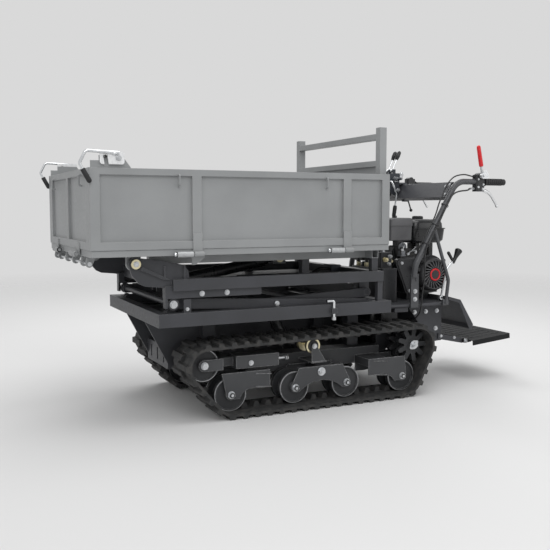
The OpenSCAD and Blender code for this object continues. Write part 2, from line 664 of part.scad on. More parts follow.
// Drive sprocket: two fingered castings beside the guide horns on one splined shaft
module sprocket() color("#303032") translate([sprocket_x, 0, sprocket_z]) {
    finger_r = 11;
    hub_r = 30;
    both_sides() upright(disc_in, disc_out) {
        circle(46);
        for (k = [0 : sprocket_fingers - 1]) rotate(k * 360 / sprocket_fingers) {
            translate([30, -finger_r]) square([sprocket_r - finger_r - 30, 2 * finger_r]);
            translate([sprocket_r - finger_r, 0]) circle(finger_r);
        }
    }
    bar_along_y(0, 0, -disc_in, disc_in, hub_r);
    bar_along_y(0, 0, chassis_half_w - track_y - 20, disc_out + 10, axle_r + 5);
    bar_along_y(0, 0, disc_out, disc_out + 6, axle_r + 12);
}
// A wheel of two dished discs on a hub, with an axle bore
module twin_wheel(r, hub_r, disc, gap_half, bore) {
    half = gap_half + disc;
    rotate([90, 0, 0]) rotate_extrude() difference() {
        union() {
            translate([bore, -half]) square([hub_r - bore, 2 * half]);
            for (y = [gap_half, -half]) translate([bore, y]) square([r - bore, disc]);
        }
        for (y = [half - 7, -half]) translate([hub_r, y]) square([r - hub_r - 8, 7]);
    }
}
module idler() color("#353537") translate([idler_x, 0, idler_z])
    twin_wheel(idler_r, 26, disc_t, disc_in, axle_r + pin_clear);
module end_roller(x) color("#39393b") translate([x, 0, roller_z])
    twin_wheel(roller_r, 24, disc_t, disc_in, axle_r + pin_clear);
module bogie_roller(x) color("#39393b") translate([x, 0, roller_z])
    twin_wheel(bogie_roller_r, 24, disc_t, disc_in, axle_r + pin_clear);
module carrier_roller() color("#b8b088") translate([carrier_x, 0, carrier_z])
    twin_wheel(carrier_r, carrier_axle_r + 4, disc_t - 8, disc_in + 4, carrier_axle_r + pin_clear);
// Bogie: two arched plates with folded tops, joined by the axles of its rollers
module bogie() color("#4c4c4e") {
    plate_out = plate_in + bogie_plate_t;
    half = bogie_base / 2;
    top = bogie_z + 26;
    both_sides() {
        upright(plate_in, plate_out) difference() {
            translate([bogie_x, 0]) {
                polygon([[-116, top], [116, top], [half + 21, roller_z + 8], [half, roller_z - 22],
                    [-half, roller_z - 22], [-half - 21, roller_z + 8]]);
                for (x = [-half, half]) translate([x, roller_z]) circle(22);
            }
            translate([bogie_x, roller_z - 150]) circle(172);
            translate([bogie_x, bogie_z]) circle(axle_r + pin_clear);
        }
        box(bogie_x - 116, bogie_x + 116, plate_in - 16, plate_out, top - 5, top);
        for (x = [bogie_x - half, bogie_x + half])
            bar_along_y(x, roller_z, disc_out + 0.5, plate_in, axle_r + 7);
    }
    for (x = [bogie_x - half, bogie_x + half])
        bar_along_y(x, roller_z, -plate_out - 4, plate_out + 14, axle_r);
}
module sprocket_left() on_left() sprocket();
module sprocket_right() on_right() sprocket();
module idler_left() on_left() idler();
module idler_right() on_right() idler();
module front_roller_left() on_left() end_roller(front_roller_x);
module front_roller_right() on_right() end_roller(front_roller_x);
module rear_roller_left() on_left() end_roller(rear_roller_x);
module rear_roller_right() on_right() end_roller(rear_roller_x);
module bogie_left() on_left() bogie();
module bogie_right() on_right() bogie();
module bogie_front_roller_left() on_left() bogie_roller(bogie_x - bogie_base / 2);
module bogie_front_roller_right() on_right() bogie_roller(bogie_x - bogie_base / 2);
module bogie_rear_roller_left() on_left() bogie_roller(bogie_x + bogie_base / 2);
module bogie_rear_roller_right() on_right() bogie_roller(bogie_x + bogie_base / 2);
module carrier_roller_left() on_left() carrier_roller();
module carrier_roller_right() on_right() carrier_roller();

// One scissor arm with round ends, from its rear pivot, rising to the front by the given angle
module scissor_arm(rise, y0, bore_rear) {
    rotate([0, rise, 0]) difference() {
        upright(y0, y0 + arm_t) {
            translate([-arm_l, -arm_d / 2]) square([arm_l, arm_d]);
            circle(arm_d / 2);
            translate([-arm_l, 0]) circle(arm_d / 2);
        }
        bar_along_y(0, 0, y0 - 1, y0 + arm_t + 1, bore_rear);
    }
}
// Outer arms: hinged low at the rear, rollers high at the front, with the lift ram's tie tube
module scissor_outer() color("#343436") placed() translate([scissor_x, 0, scissor_low_z]) {
    mid = -arm_l / 2;
    both_sides() {
        difference() {
            scissor_arm(arm_rise, outer_arm_y, scissor_pin_r + pin_clear);
            rotate([0, arm_rise, 0]) bar_along_y(mid, 0, outer_arm_y - 1, outer_arm_y + arm_t + 1,
                scissor_pin_r + pin_clear);
        }
        rotate([0, arm_rise, 0]) {
            bar_along_y(-arm_l, 0, outer_arm_y + arm_t, frame_in_y - 3, scissor_pin_r);
            bar_along_y(-arm_l, 0, frame_in_y - 3, frame_in_y + 24, scissor_roller_r);
            upright(outer_arm_y, outer_arm_y + arm_t)
                polygon([[-lift_eye_a - 60, -arm_d / 2 + 1], [-lift_eye_a + 60, -arm_d / 2 + 1],
                    [-lift_eye_a + 18, -lift_eye_drop - 16], [-lift_eye_a - 18, -lift_eye_drop - 16]]);
        }
    }
    rotate([0, arm_rise, 0]) {
        bar_along_y(-arm_l, 0, -outer_arm_y, outer_arm_y, scissor_pin_r);
        bar_along_y(-lift_eye_a, -lift_eye_drop, -outer_arm_y, outer_arm_y, ram_pin_r);
        bar_along_y(-80, 0, -outer_arm_y, outer_arm_y, scissor_pin_r - 2);
    }
}
// Inner arms: hinged high at the rear, rollers low at the front, with the centre pins
module scissor_inner() color("#343436") placed() translate([scissor_x, 0, scissor_high_z]) {
    mid = -arm_l / 2;
    both_sides() {
        scissor_arm(-arm_rise, inner_arm_y, scissor_pin_r + pin_clear);
        rotate([0, -arm_rise, 0]) {
            bar_along_y(mid, 0, inner_arm_y + arm_t, outer_arm_y + arm_t + 3, scissor_pin_r);
            bar_along_y(mid, 0, inner_arm_y + arm_t, outer_arm_y - 0.5, scissor_pin_r + 8);
            bar_along_y(-arm_l, 0, inner_arm_y + arm_t, inner_arm_y + arm_t + 4, scissor_pin_r);
            bar_along_y(-arm_l, 0, inner_arm_y + arm_t + 3, frame_in_y - 7, scissor_roller_r);
        }
    }
    rotate([0, -arm_rise, 0]) for (a = [120, 640])
        bar_along_y(a - arm_l, 0, -inner_arm_y, inner_arm_y, scissor_pin_r);
}

// Rams, each drawn along +Z from its foot and then laid between its two eyes
module ram_barrel(l, stroke, foot_bore) {
    barrel_l = l - 78;
    difference() {
        union() {
            bar_along_z(0, 0, 18, barrel_l, ram_r);
            bar_along_z(0, 0, barrel_l, barrel_l + 14, ram_r - 5);
            bar_along_y(0, 0, -ram_foot_t / 2, ram_foot_t / 2, ram_eye_r);
        }
        bar_along_y(0, 0, -ram_foot_t, ram_foot_t, foot_bore);
        bar_along_z(0, 0, barrel_l - stroke - 60, barrel_l + 20, ram_rod_r + pin_clear);
    }
}
module ram_rod(l, stroke, eye_bore) {
    difference() {
        union() {
            bar_along_z(0, 0, l - stroke - 130, l - ram_eye_r + 6, ram_rod_r);
            bar_along_y(0, l, -ram_eye_t / 2, ram_eye_t / 2, ram_eye_r - 2);
        }
        bar_along_y(0, l, -ram_eye_t, ram_eye_t, eye_bore);
    }
}
module lift_barrel() color("#2b2b2d") placed() translate([lift_foot_x, 0, lift_foot_z])
    rotate([0, lift_ram_turn, 0]) ram_barrel(lift_ram_l, lift_stroke, ram_pin_r + pin_clear);
module lift_rod() color("#c9ccd0") placed() translate([lift_foot_x, 0, lift_foot_z])
    rotate([0, lift_ram_turn, 0]) ram_rod(lift_ram_l, lift_stroke - 100, ram_pin_r + lift_eye_clear);
module tip_barrel() color("#2b2b2d") placed() translate([tip_foot_x, 0, tip_foot_z])
    rotate([0, tip_ram_turn, 0]) {
        ram_barrel(tip_ram_l, tip_stroke, ram_pin_r - 1);
        bar_along_y(0, 0, -ram_lug_y - 16, ram_lug_y + 16, ram_pin_r);
    }
module tip_rod() color("#c9ccd0") placed() translate([tip_foot_x, 0, tip_foot_z]) rotate([0, tip_ram_turn, 0])
    ram_rod(tip_ram_l, tip_stroke, ram_pin_r + pin_clear);

// Lift frame: level ring on the scissor, roller tracks under it, tipping brackets in front
module lift_frame() color("#3b3b3d") placed() {
    top = lift_z + lift_h;
    track_low_z = scissor_high_z + scissor_roller_r + 0.5;
    web_y = frame_in_y + 27;
    difference() {
        box(lift_x0, lift_x1, -frame_half_w, frame_half_w, lift_z, top);
        box(lift_x0 + rail_w, lift_x1 - rail_w, -frame_in_y, frame_in_y, lift_z - 1, top + 1);
    }
    both_sides() {
        // Roller track and its front stop
        box(318, 760, frame_in_y - 5, web_y + 6, track_low_z, track_low_z + 6);
        box(318, 760, web_y, web_y + 6, track_low_z, lift_z);
        box(318, lift_x0, frame_in_y - 5, web_y + 6, track_low_z, lift_z + 20);
        box(318, scissor_front_x - scissor_roller_r - 3, frame_in_y + 2, web_y + 6, scissor_high_z - 16,
            track_low_z);
        // Tipping bracket: quarter-round plate from the rail's end up to the pivot
        upright(frame_in_y + 14, frame_in_y + 26) {
            translate([tip_x, tip_z]) circle(tip_pin_r + 15);
            polygon([[tip_x + 2, tip_z + 26], [tip_x + 105, tip_z + 12], [tip_x + 205, tip_z - 8],
                [tip_x + 228, tip_z - 34], [tip_x + 232, top - 4], [tip_x + 232, lift_z + 2],
                [lift_x0 + 4, lift_z + 2], [tip_x + 110, lift_z + 15], [tip_x + 40, lift_z + 22],
                [tip_x + 14, lift_z + 34], [tip_x - 1, lift_z + 52], [tip_x - 16, lift_z + 70],
                [tip_x - 27, tip_z - 10]]);
        }
        upright(frame_in_y + 24, frame_in_y + 36)
            polygon([[tip_x + 16, tip_z - 24], [tip_x + 26, tip_z - 12], [tip_x + 142, top - 1],
                [tip_x + 120, top - 1]]);
        for (x = [tip_x + 118, tip_x + 205])
            box(x, x + 8, frame_in_y + 24, frame_in_y + 34, top - 1, tip_z - 12);
        bar_along_y(tip_x, tip_z, frame_in_y - 22, frame_in_y + 34, tip_pin_r);
        bar_along_y(tip_x, tip_z, frame_in_y + 26, frame_in_y + 34, tip_pin_r + 7);
        // Hangers of the inner arms
        difference() {
            upright(inner_arm_y - 18, inner_arm_y - 4) {
                translate([scissor_x, scissor_high_z]) circle(26);
                translate([scissor_x - 26, scissor_high_z]) square([52, lift_z - scissor_high_z + 6]);
            }
            box(scissor_x - 40, scissor_x + 40, inner_arm_y - 20, inner_arm_y, lift_z + 4, lift_z + 20);
        }
        bar_along_y(scissor_x, scissor_high_z, inner_arm_y - 4, inner_arm_y + arm_t - 2, scissor_pin_r);
        // Rest posts under the bed's long beams
        box(1000, 1036, long_beam_y + 2, long_beam_y + 38, lift_z + 4, long_beam_z - seat_gap);
        box(rest_x + 2, rest_x + rest_w - 2, rest_half_w - 30, rest_half_w - 2, top, long_beam_z - seat_gap);
        box(1000, 1036, long_beam_y + 2, frame_in_y, lift_z + 4, top - 4);
    }
    box(760, lift_x1 - rail_w + 2, -frame_in_y - 2, frame_in_y + 2, lift_z + 4, lift_z + 8);
    // Slotted lugs for the tipping ram's foot
    both_sides() difference() {
        box(lift_x0 + rail_w - 6, tip_foot_x + 50, ram_lug_y, ram_lug_y + 10, tip_foot_z - 36, top - 4);
        box(tip_foot_x - 36, tip_foot_x + 38, ram_lug_y - 1, ram_lug_y + 11, tip_foot_z - 18,
            tip_foot_z + 30);
    }
}

// Bed floor: sheet on a ring of tubes with long beams, hinge barrels, tipping ears and ram lugs
module bed_floor() color("#8b8d8f") placed() {
    low = floor_z - sheet_t;
    ear_y = frame_in_y - 8;
    box(floor_x0, bed_l, -ring_half_w, ring_half_w, low, floor_z);
    // Wear sheet laid between the sides, gate and headboard
    box(34, bed_l - 40, 33 - bed_half_w, bed_half_w - 33, floor_z - 1, floor_z + sheet_t - 1);
    difference() {
        box(floor_x0, bed_l, -ring_half_w, ring_half_w, ring_z, low);
        box(ring_w, bed_l - ring_w, -ring_half_w + ring_w, ring_half_w - ring_w, ring_z - 1, low + 1);
    }
    for (x = [tip_x - 20, 500, 820, 1140])
        box(x, x + ring_w, -ring_half_w + ring_w, ring_half_w - ring_w, ring_z, low);
    both_sides() {
        box(tip_x + 75, rest_x, long_beam_y, long_beam_y + ring_w, long_beam_z, ring_z);
        difference() {
            upright(ear_y - 12, ear_y + 6) {
                translate([tip_x, tip_z]) circle(tip_pin_r + 17);
                translate([tip_x - 30, tip_z]) square([60, ring_z + 6 - tip_z]);
            }
            bar_along_y(tip_x, tip_z, ear_y - 13, ear_y + 7, tip_pin_r + pin_clear);
        }
        for (p = [side_posts[1], side_posts[2]]) side_knuckle(p);
        gate_knuckle();
    }
    // Open-ended cross tube that lands on the lift frame's rear posts
    difference() {
        box(rest_x, rest_x + rest_w, -rest_half_w, rest_half_w, long_beam_z, ring_z);
        box(rest_x + sheet_t, rest_x + rest_w - sheet_t, -rest_half_w - 1, rest_half_w + 1,
            long_beam_z + sheet_t, ring_z - sheet_t);
    }
    both_sides() upright(ring_half_w - ring_w + 4, ring_half_w - ring_w + 10)
        polygon([[432, ring_z + 1], [488, ring_z + 1], [488, ring_z - 14], [446, ring_z - 42],
            [432, ring_z - 42]]);
    // Lugs and pin of the tipping ram's eye
    both_sides() box(tip_eye_x - 34, tip_eye_x + 34, 19, 29, tip_eye_z - 28, low);
    bar_along_y(tip_eye_x, tip_eye_z, -34, 34, ram_pin_r);
    box(tip_eye_x - 40, tip_eye_x + 40, -ring_half_w + ring_w, ring_half_w - ring_w, ring_z, low);
}
// Fixed half of a drop side's hinge, with the pin that carries the strap's knuckle
module side_knuckle(x) {
    y = bed_half_w + hinge_out;
    bar_along_x(x - barrel_l - 4, x - 4, y, hinge_z, barrel_r);
    box(x - barrel_l - 4, x - 4, ring_half_w - 6, y, hinge_z - 8, hinge_z + 8);
    bar_along_x(x - barrel_l - 14, x + post_w + 6, y, hinge_z, hinge_pin_r);
}
// Fixed half of a gate hinge
module gate_knuckle() {
    y = gate_hinge_y;
    bar_along_y(-hinge_out, hinge_z, y - 4 - barrel_l, y - 4, barrel_r);
    box(-hinge_out, 12, y - 4 - barrel_l, y - 4, hinge_z - 5, hinge_z + 8);
    bar_along_y(-hinge_out, hinge_z, y - barrel_l - 14, y + post_w + 6, hinge_pin_r);
}

// Headboard: posts, rails and a sheet with an open strip under the top rail
module headboard() color("#8f9193") placed() {
    x0 = bed_l - head_post;
    top = floor_z + head_h;
    rail_z = top - head_rail_drop - top_rail_h;
    sheet_top = rail_z - window_h;
    both_sides() box(x0, bed_l, gate_half_w - head_post, gate_half_w, floor_z, top);
    box(x0, bed_l, -gate_half_w, gate_half_w, rail_z, rail_z + top_rail_h);
    box(x0, bed_l, -gate_half_w, gate_half_w, floor_z, floor_z + bottom_rail_h);
    box(x0, bed_l, -gate_half_w, gate_half_w, sheet_top - top_rail_h, sheet_top);
    box(x0 + sheet_inset, x0 + sheet_inset + sheet_t, -gate_half_w, gate_half_w, floor_z, sheet_top);
}

// A framed panel with its outer face at y = 0, its length along X and its foot at z = 0
module framed_panel(x0, x1, posts) {
    box(x0, x1, 0, panel_t, 0, bottom_rail_h);
    box(x0, x1, 0, panel_t, side_h - top_rail_h, side_h);
    box(x0, x1, sheet_inset, sheet_inset + sheet_t, 0, side_h);
    for (x = posts) box(x, x + post_w, 0, panel_t, 0, side_h);
}
// A moving hinge knuckle and strap on a panel's post, the panel's outer face at y = 0
module strap(x, foot, up) {
    axis_z = hinge_z - foot;
    difference() {
        union() {
            box(x, x + post_w, -strap_t, 0, axis_z, up);
            box(x, x + post_w, -hinge_out, 0, axis_z - 4, axis_z + 4);
            bar_along_x(x, x + post_w, -hinge_out, axis_z, barrel_r);
        }
        bar_along_x(x - 1, x + post_w + 1, -hinge_out, axis_z, hinge_pin_r + pin_clear);
    }
}
// A drop side, as the one at the operator's right hand
module drop_side() color("#929496") {
    translate([0, -bed_half_w, panel_z]) {
        framed_panel(0, bed_l, side_posts);
        for (p = [side_posts[1], side_posts[2]]) strap(p, panel_z, strap_up);
        // Latch bracket and pivot pin above the front corner
        upright(6, 14)
            polygon([[8, side_h - 2], [8, side_h + 28], [42, side_h + 28], [42, side_h + 48],
                [latch_x + 18, side_h + 48], [latch_x + 52, side_h + 3], [latch_x + 52, side_h - 2]]);
        bar_along_y(latch_x, side_h + latch_up, -14, 8, hinge_pin_r - 1);
        bar_along_y(62, side_h + latch_up + 6, -10, 8, 5);
        for (x = [side_posts[1] - 58, side_posts[2] - 88]) tie_hook(x);
    }
}
module tie_hook(x) {
    bent_bar([[x, 8, side_h - top_rail_h + 4], [x, -10, side_h - top_rail_h + 4], [x, -10, side_h - 64],
        [x, 4, side_h - 70]], 4, 6);
}
module side_right() placed() drop_side();
module side_left() placed() mirror([0, 1, 0]) drop_side();
// Front gate: the same framing across the bed, turned to face the front
module front_gate() color("#8d8f91") placed() translate([0, 0, panel_z]) rotate([0, 0, -90]) {
    framed_panel(-gate_half_w, gate_half_w, gate_posts);
    for (x = [-gate_hinge_y - post_w, gate_hinge_y]) strap(x, panel_z, gate_strap_up);
    for (x = [-gate_half_w * 0.72, gate_half_w * 0.72]) tie_hook(x);
}

// Latch: slotted plate on a pivot with a bent handle and a rubber sleeve
module latch() color("#c8cacc") {
    y = -bed_half_w - 6;
    pivot_z = panel_z + side_h + latch_up;
    rod_y = y - 5;
    top_z = pivot_z + 20;
    difference() {
        union() {
            translate([latch_x - 21.5, y + 5, pivot_z]) rotate([90, 0, 0])
                round_slab(91, 50, 5, 10);
            bent_bar([[latch_x, rod_y, top_z], [-14, rod_y, top_z + 6],
                [latch_front_x + 1, rod_y, top_z - 44], [-2, rod_y, top_z - 110]], latch_rod_r, 16);
            link([latch_front_x + 14, rod_y, top_z - 66], [-2, rod_y, top_z - 110], latch_rod_r + 4);
        }
        bar_along_y(latch_x, pivot_z, y - 20, y + 20, hinge_pin_r - 1 + pin_clear);
        upright(y - 4.5, y + 6) {
            translate([62, pivot_z + 6]) circle(9);
            polygon([[53, pivot_z + 6], [71, pivot_z + 6], [86, pivot_z - 30], [53, pivot_z - 30]]);
        }
    }
}
module latch_right() placed() latch();
module latch_left() placed() mirror([0, 1, 0]) latch();

// Gearbox between the chassis rails, on the sprocket shafts
module gearbox() color("#4a4b4d") placed() {
    half = chassis_half_w - chassis_rail_w - 6;
    wall = 8;
    difference() {
        union() {
            translate([sprocket_x + 20, 0, sprocket_z - 62]) round_slab(170, 2 * half - 40, 150, 24);
            bar_along_y(sprocket_x, sprocket_z, -chassis_half_w + 6, chassis_half_w - 6, axle_r + 7);
            for (y = [-half + 20, half - 32]) translate([sprocket_x, y, sprocket_z]) rotate([-90, 0, 0])
                cylinder(h = 12, r = 58);
            box(sprocket_x - 40, sprocket_x + 80, -half, half, sprocket_z + 74, sprocket_z + 88);
            for (s = [-1, 1]) box(sprocket_x - 30, sprocket_x + 70, s * (half - 10) - 10,
                s * (half - 10) + 10, sprocket_z + 88, deck_z - plate_t);
        }
        both_sides() bar_along_y(sprocket_x, sprocket_z, chassis_half_w - 24, chassis_half_w,
            axle_r + 5 + pin_clear);
    }
}

// Engine: crankcase, leaning finned cylinder, and the flange that carries the starter
module engine_block() color("#56585a") placed() translate([crank_x, 0, 0]) {
    half = 118;
    box(-120, deck_x1 - crank_x - 4, -half, half, deck_z, deck_z + 34);
    translate([-8, 0, deck_z + 32]) round_slab(206, 2 * half - 10, case_top_z - deck_z - 32, 22);
    bar_along_y(0, crank_z, recoil_y + 44, -half + 6, recoil_r + 14);
    bar_along_y(0, crank_z, half - 8, half + 54, 13);
    translate([-56, -6, crank_z + 20]) rotate([0, -62, 0]) {
        for (k = [0 : 7]) translate([0, 0, 44 + k * 13]) round_slab(132, 150, 5, 14);
        bar_along_z(0, 0, 0, 136, 48);
        translate([0, 0, 136]) round_slab(120, 130, 26, 10);
    }
    box(-174, -130, -106, -30, crank_z + 60, crank_z + 152);
}
// Recoil starter cover: dished drum with radial slots, a raised centre and a pull grip
module recoil_cover() color("#3f4143") placed() translate([crank_x, recoil_y, crank_z]) rotate([90, 0, 0]) {
    depth = 44;
    difference() {
        rotate_extrude() polygon([[0, -depth], [recoil_r, -depth], [recoil_r, -12], [recoil_r - 8, -2],
            [recoil_r - 14, 0], [36, 0], [36, 4], [0, 4]]);
        for (k = [0 : recoil_slots - 1]) rotate(k * 360 / recoil_slots) translate([42, -3, -9])
            cube([recoil_r - 60, 6, 12]);
        for (k = [0 : recoil_slots - 1]) rotate(k * 360 / recoil_slots) translate([recoil_r - 6, -4, -34])
            cube([10, 8, 18]);
    }
    translate([-recoil_r - 10, 26, -26]) rotate([0, -90, 0]) round_slab(20, 46, 16, 7);
    translate([-recoil_r + 6, 26, -26]) rotate([0, -90, 0]) cylinder(h = 18, r = 10);
}
module fuel_tank() color("#2d2e30") placed() translate([crank_x - 20, -62, 0]) {
    low = crank_z + 166;
    translate([0, 0, low]) round_slab(222, 240, 74, 40);
    translate([0, 0, low + 74 - eps]) round_slab(232, 250, 5, 42);
    translate([0, 0, low + 79 - eps]) round_slab(206, 224, 46, 40);
    bar_along_z(48, 60, low + 124, low + 142, 30);
    for (x = [-6, 80]) box(x - 14, x + 14, -20, 60, case_top_z, low + 1);
}
module air_cleaner() color("#3b3c3e") placed() translate([crank_x - 210, -126, 0]) {
    low = crank_z + 182;
    translate([0, 0, low]) round_slab(136, 132, 84, 10);
    translate([0, 0, low + 84 - eps]) round_slab(142, 138, 34, 12);
    translate([52, 40, low - 30]) round_slab(40, 50, 31, 6);
    bar_along_z(0, 0, low + 117, low + 130, 14);
}
module muffler() color("#4b4b4b") placed() translate([crank_x - 206, 140, 0]) {
    low = crank_z + 64;
    difference() {
        translate([0, 0, low]) round_slab(120, 116, 128, 22);
        for (k = [-2 : 2]) box(-70, -52, k * 18 - 5, k * 18 + 5, low + 24, low + 104);
    }
    bar_along_y(40, low + 34, -71, -50, 18);
    bar_along_y(-20, low + 100, 50, 84, 14);
}
// Guard over the drive belt on the engine's far side
module belt_guard() color("#39393b") placed() {
    y0 = 122;
    low_x = sprocket_x + 40;
    low_z = deck_z + 62;
    r0 = 74;
    r1 = 62;
    difference() {
        upright(y0 + 2, y0 + 58) {
            translate([crank_x, crank_z]) circle(r0);
            translate([low_x, low_z]) circle(r1);
            translate([low_x, low_z]) rotate(atan2(crank_z - low_z, crank_x - low_x)) translate([0, 6 - r1])
                square([crank_x - low_x, 2 * r1 - 12]);
        }
        bar_along_y(crank_x, crank_z, y0, y0 + 54, 20);
    }
}
// Hydraulic oil tank with pump and filler in front of the engine
module hydraulic_tank() color("#454648") placed() {
    translate([1590, -40, deck_z]) round_slab(96, 300, tank_top_z - deck_z, 14);
    bar_along_z(1592, 40, tank_top_z - 1, tank_top_z + 24, 24);
    translate([1590, -120, tank_top_z - 1]) round_slab(70, 70, 83, 8);
    bar_along_x(1560, 1620, -60, tank_top_z + 12, 15);
}
// Two-spool control valve on a bracket at the control panel
module valve_block() color("#3e4550") placed() {
    x = valve_x;
    top = grip_z + 60;
    translate([x, valve_y, shelf_z + 5]) round_slab(70, 96, top - shelf_z - 5, 6);
    box(x - 36, x + 84, valve_y - 46, valve_y + 46, shelf_z, shelf_z + 6);
    bar_along_y(x, grip_z + 26, valve_y - 74, valve_y - 46, 11);
    bar_along_y(x, grip_z + 26, valve_y - 106, valve_y - 72, 7);
    upright(valve_y - 46, valve_y - 40) {
        translate([x + 4, grip_z - 30]) circle(34);
        translate([x - 30, grip_z - 30]) square([60, shelf_z - grip_z + 32]);
    }
    for (dx = [-18, 18]) bar_along_z(x + dx, valve_y, port_z, shelf_z + 1, 10);
    bar_along_y(x, valve_pivot_z, valve_y - 42, valve_y + 42, valve_pin_r);
    for (y = [-42, -3, 36]) box(x - 9, x + 9, valve_y + y, valve_y + y + 6, top - 2, valve_pivot_z + 8);
}
// A valve lever: hub, rod and knob, leaning to the rear
module valve_lever(y) {
    x = valve_x;
    z = valve_pivot_z;
    difference() {
        union() {
            bar_along_y(x, z, y - 9, y + 9, 12);
            link([x, y, z], [x + 36, y, z + 80], 5);
            domed_bar([x + 30, y, z + 66], [x + 48, y, z + 106], 13);
        }
        bar_along_y(x, z, y - 10, y + 10, valve_pin_r + pin_clear);
    }
}
module lift_valve_lever() color("#303234") placed() valve_lever(valve_y + 19.5);
module tip_valve_lever() color("#303234") placed() valve_lever(valve_y - 19.5);

// Hydraulic hoses and control cables, along routes chosen by hand
hose_end_gap = 0.5;
hose_routes = [
    [[1570, 84, tank_top_z + hose_end_gap], [1570, 84, tank_top_z + 40], [1572, 150, 760],
        [1612, 206, 860], [1716, 212, 956], [1796, 208, 1004], [valve_x - 18, valve_y, port_z - 26],
        [valve_x - 18, valve_y, port_z - hose_end_gap]],
    [[1562, -10, tank_top_z + hose_end_gap], [1562, -10, tank_top_z + 40], [1570, 0, 770],
        [1630, 70, 890], [1744, 150, 962], [1820, 190, 992], [valve_x + 18, valve_y, port_z - 26],
        [valve_x + 18, valve_y, port_z - hose_end_gap]]];
cable_y = bar_y + bar_r + 7;
cable_route = [[perch_x0 - hose_end_gap, bar_y, grip_z - 36], [perch_x0 - 30, bar_y, grip_z - 36],
    [bar_bend_x + 60, cable_y - 4, grip_z - 44], [bar_point(grip_z - 70), cable_y, grip_z - 70],
    [bar_point(860), cable_y, 860], [bar_point(720), cable_y, 720], [bar_low_x + 46, cable_y - 4, 590],
    [bar_low_x + 44, bar_y + 2, 480], [bar_low_x + 42, bar_y - 10, 400], [bar_low_x + 30, 250, 352],
    [bar_low_x + 30, chassis_half_w + hose_end_gap, 352]];
module hoses() color("#1f2022") placed() {
    for (p = hose_routes) hose(p, 9);
    hose(cable_route, 4);
    mirror([0, 1, 0]) hose(cable_route, 4);
}

// Handlebars: two bent tubes on flat feet, joined by a brace behind the engine
module handlebars() color("#3b3c3e") placed() {
    both_sides() {
        box(bar_x0 - 14, bar_x0 + 32, deck_half_w, deck_half_w + 12, deck_z - 18, bar_knee_z - 44);
        bent_bar([[bar_x0, bar_y, bar_knee_z - 60], [bar_low_x, bar_y, bar_knee_z],
            [bar_bend_x, bar_y, grip_z], [grip_x1 - grip_l - 0.2, bar_y, grip_z]], bar_r, bar_bend_r);
        bar_along_x(grip_x1 - grip_l - 1, grip_x1 - 5, bar_y, grip_z, bar_r - 2);
        bent_bar([[bar_point(830), bar_y, 830], [crank_x + 9, bar_y, 556],
            [crank_x - 6, bar_y, deck_z - 8]], 9, 60);
        box(crank_x - 22, crank_x + 10, deck_half_w, bar_y, deck_z - 16, deck_z + 14);
    }
}
// Control panel: bent sheet between the tubes, in their slope
module control_panel() color("#2f3032") placed() {
    l = panel_l;
    half = bar_y - bar_r - 1;
    translate([bar_point(panel_low_z), 0, panel_low_z]) rotate([0, bar_slope, 0]) {
        box(-2, 3, -half, half, 0, l);
        box(-2, 26, -half, half, 0, 4);
        box(-2, 26, -half, half, l - 4, l);
        both_sides() box(-12, 12, half - 4, half + 0.5, 6, l - 6);
    }
    // Lug and pin of the throttle lever
    box(throttle_x - 30, throttle_x + 9, throttle_y + 5.5, throttle_y + 10, throttle_z - 22, throttle_z + 9);
    bar_along_y(throttle_x, throttle_z, throttle_y - 7, throttle_y + 7, lever_pin_r);
}
// Hand grips: sleeves with ribs and an end collar
module grips() color("#232425") placed() both_sides() translate([grip_x1 - grip_l, bar_y, grip_z])
    rotate([0, 90, 0]) difference() {
    union() {
        cylinder(h = grip_l, r = grip_r - 1.5);
        for (k = [0 : 8]) translate([0, 0, 10 + k * 13]) cylinder(h = 7, r = grip_r);
        cylinder(h = 6, r = grip_r + 5);
    }
    translate([0, 0, -1]) cylinder(h = grip_l - 3, r = bar_r - 2 + pin_clear);
}
// Lever housings clamped round the tubes in front of the grips
module lever_perches() color("#2b2c2e") placed() {
    both_sides() {
        difference() {
            union() {
                translate([perch_x, bar_y, grip_z - 50]) round_slab(perch_x1 - perch_x0, 40, 86, 12);
                bar_along_y(perch_x, clutch_z, bar_y - 16, bar_y + 22, 16);
            }
            bar_along_x(perch_x0 - 1, perch_x1 + 1, bar_y, grip_z, bar_r);
            box(perch_x1 - 36, perch_x1 + 1, bar_y - 8, bar_y + 8, grip_z - 51, grip_z - 20);
        }
        bar_along_y(brake_x, brake_z, bar_y - 12, bar_y + 12, lever_pin_r);
    }
    bar_along_y(perch_x, clutch_z, -bar_y - 36, -bar_y - 12, clutch_pin_r);
}
// Turning brake lever under a grip
module brake_lever() color("#b9bbbd") {
    x = brake_x;
    z = brake_z;
    difference() {
        union() {
            bar_along_y(x, z, bar_y - 7, bar_y + 7, 11);
            bent_bar([[x, bar_y, z], [x + 54, bar_y, z - 18], [x + 126, bar_y, z - 76]], 6.5, 60);
            translate([x + 126, bar_y, z - 76]) sphere(9);
        }
        bar_along_y(x, z, bar_y - 8, bar_y + 8, lever_pin_r + pin_clear);
    }
}
module brake_lever_left() placed() brake_lever();
module brake_lever_right() placed() mirror([0, 1, 0]) brake_lever();
// Upright clutch lever with a sleeve, above the near grip's housing
module clutch_lever() color("#c8242c") placed() {
    x = perch_x;
    y = -bar_y - 29;
    z = clutch_z;
    difference() {
        union() {
            bar_along_y(x, z, y - 5.5, y + 6.5, 14);
            link([x, y, z], [x - 8, y, z + 54], 6);
            domed_bar([x - 8, y, z + 50], [x - 28, y, z + 146], 11);
        }
        bar_along_y(x, z, y - 20, y + 20, clutch_pin_r + pin_clear);
    }
}
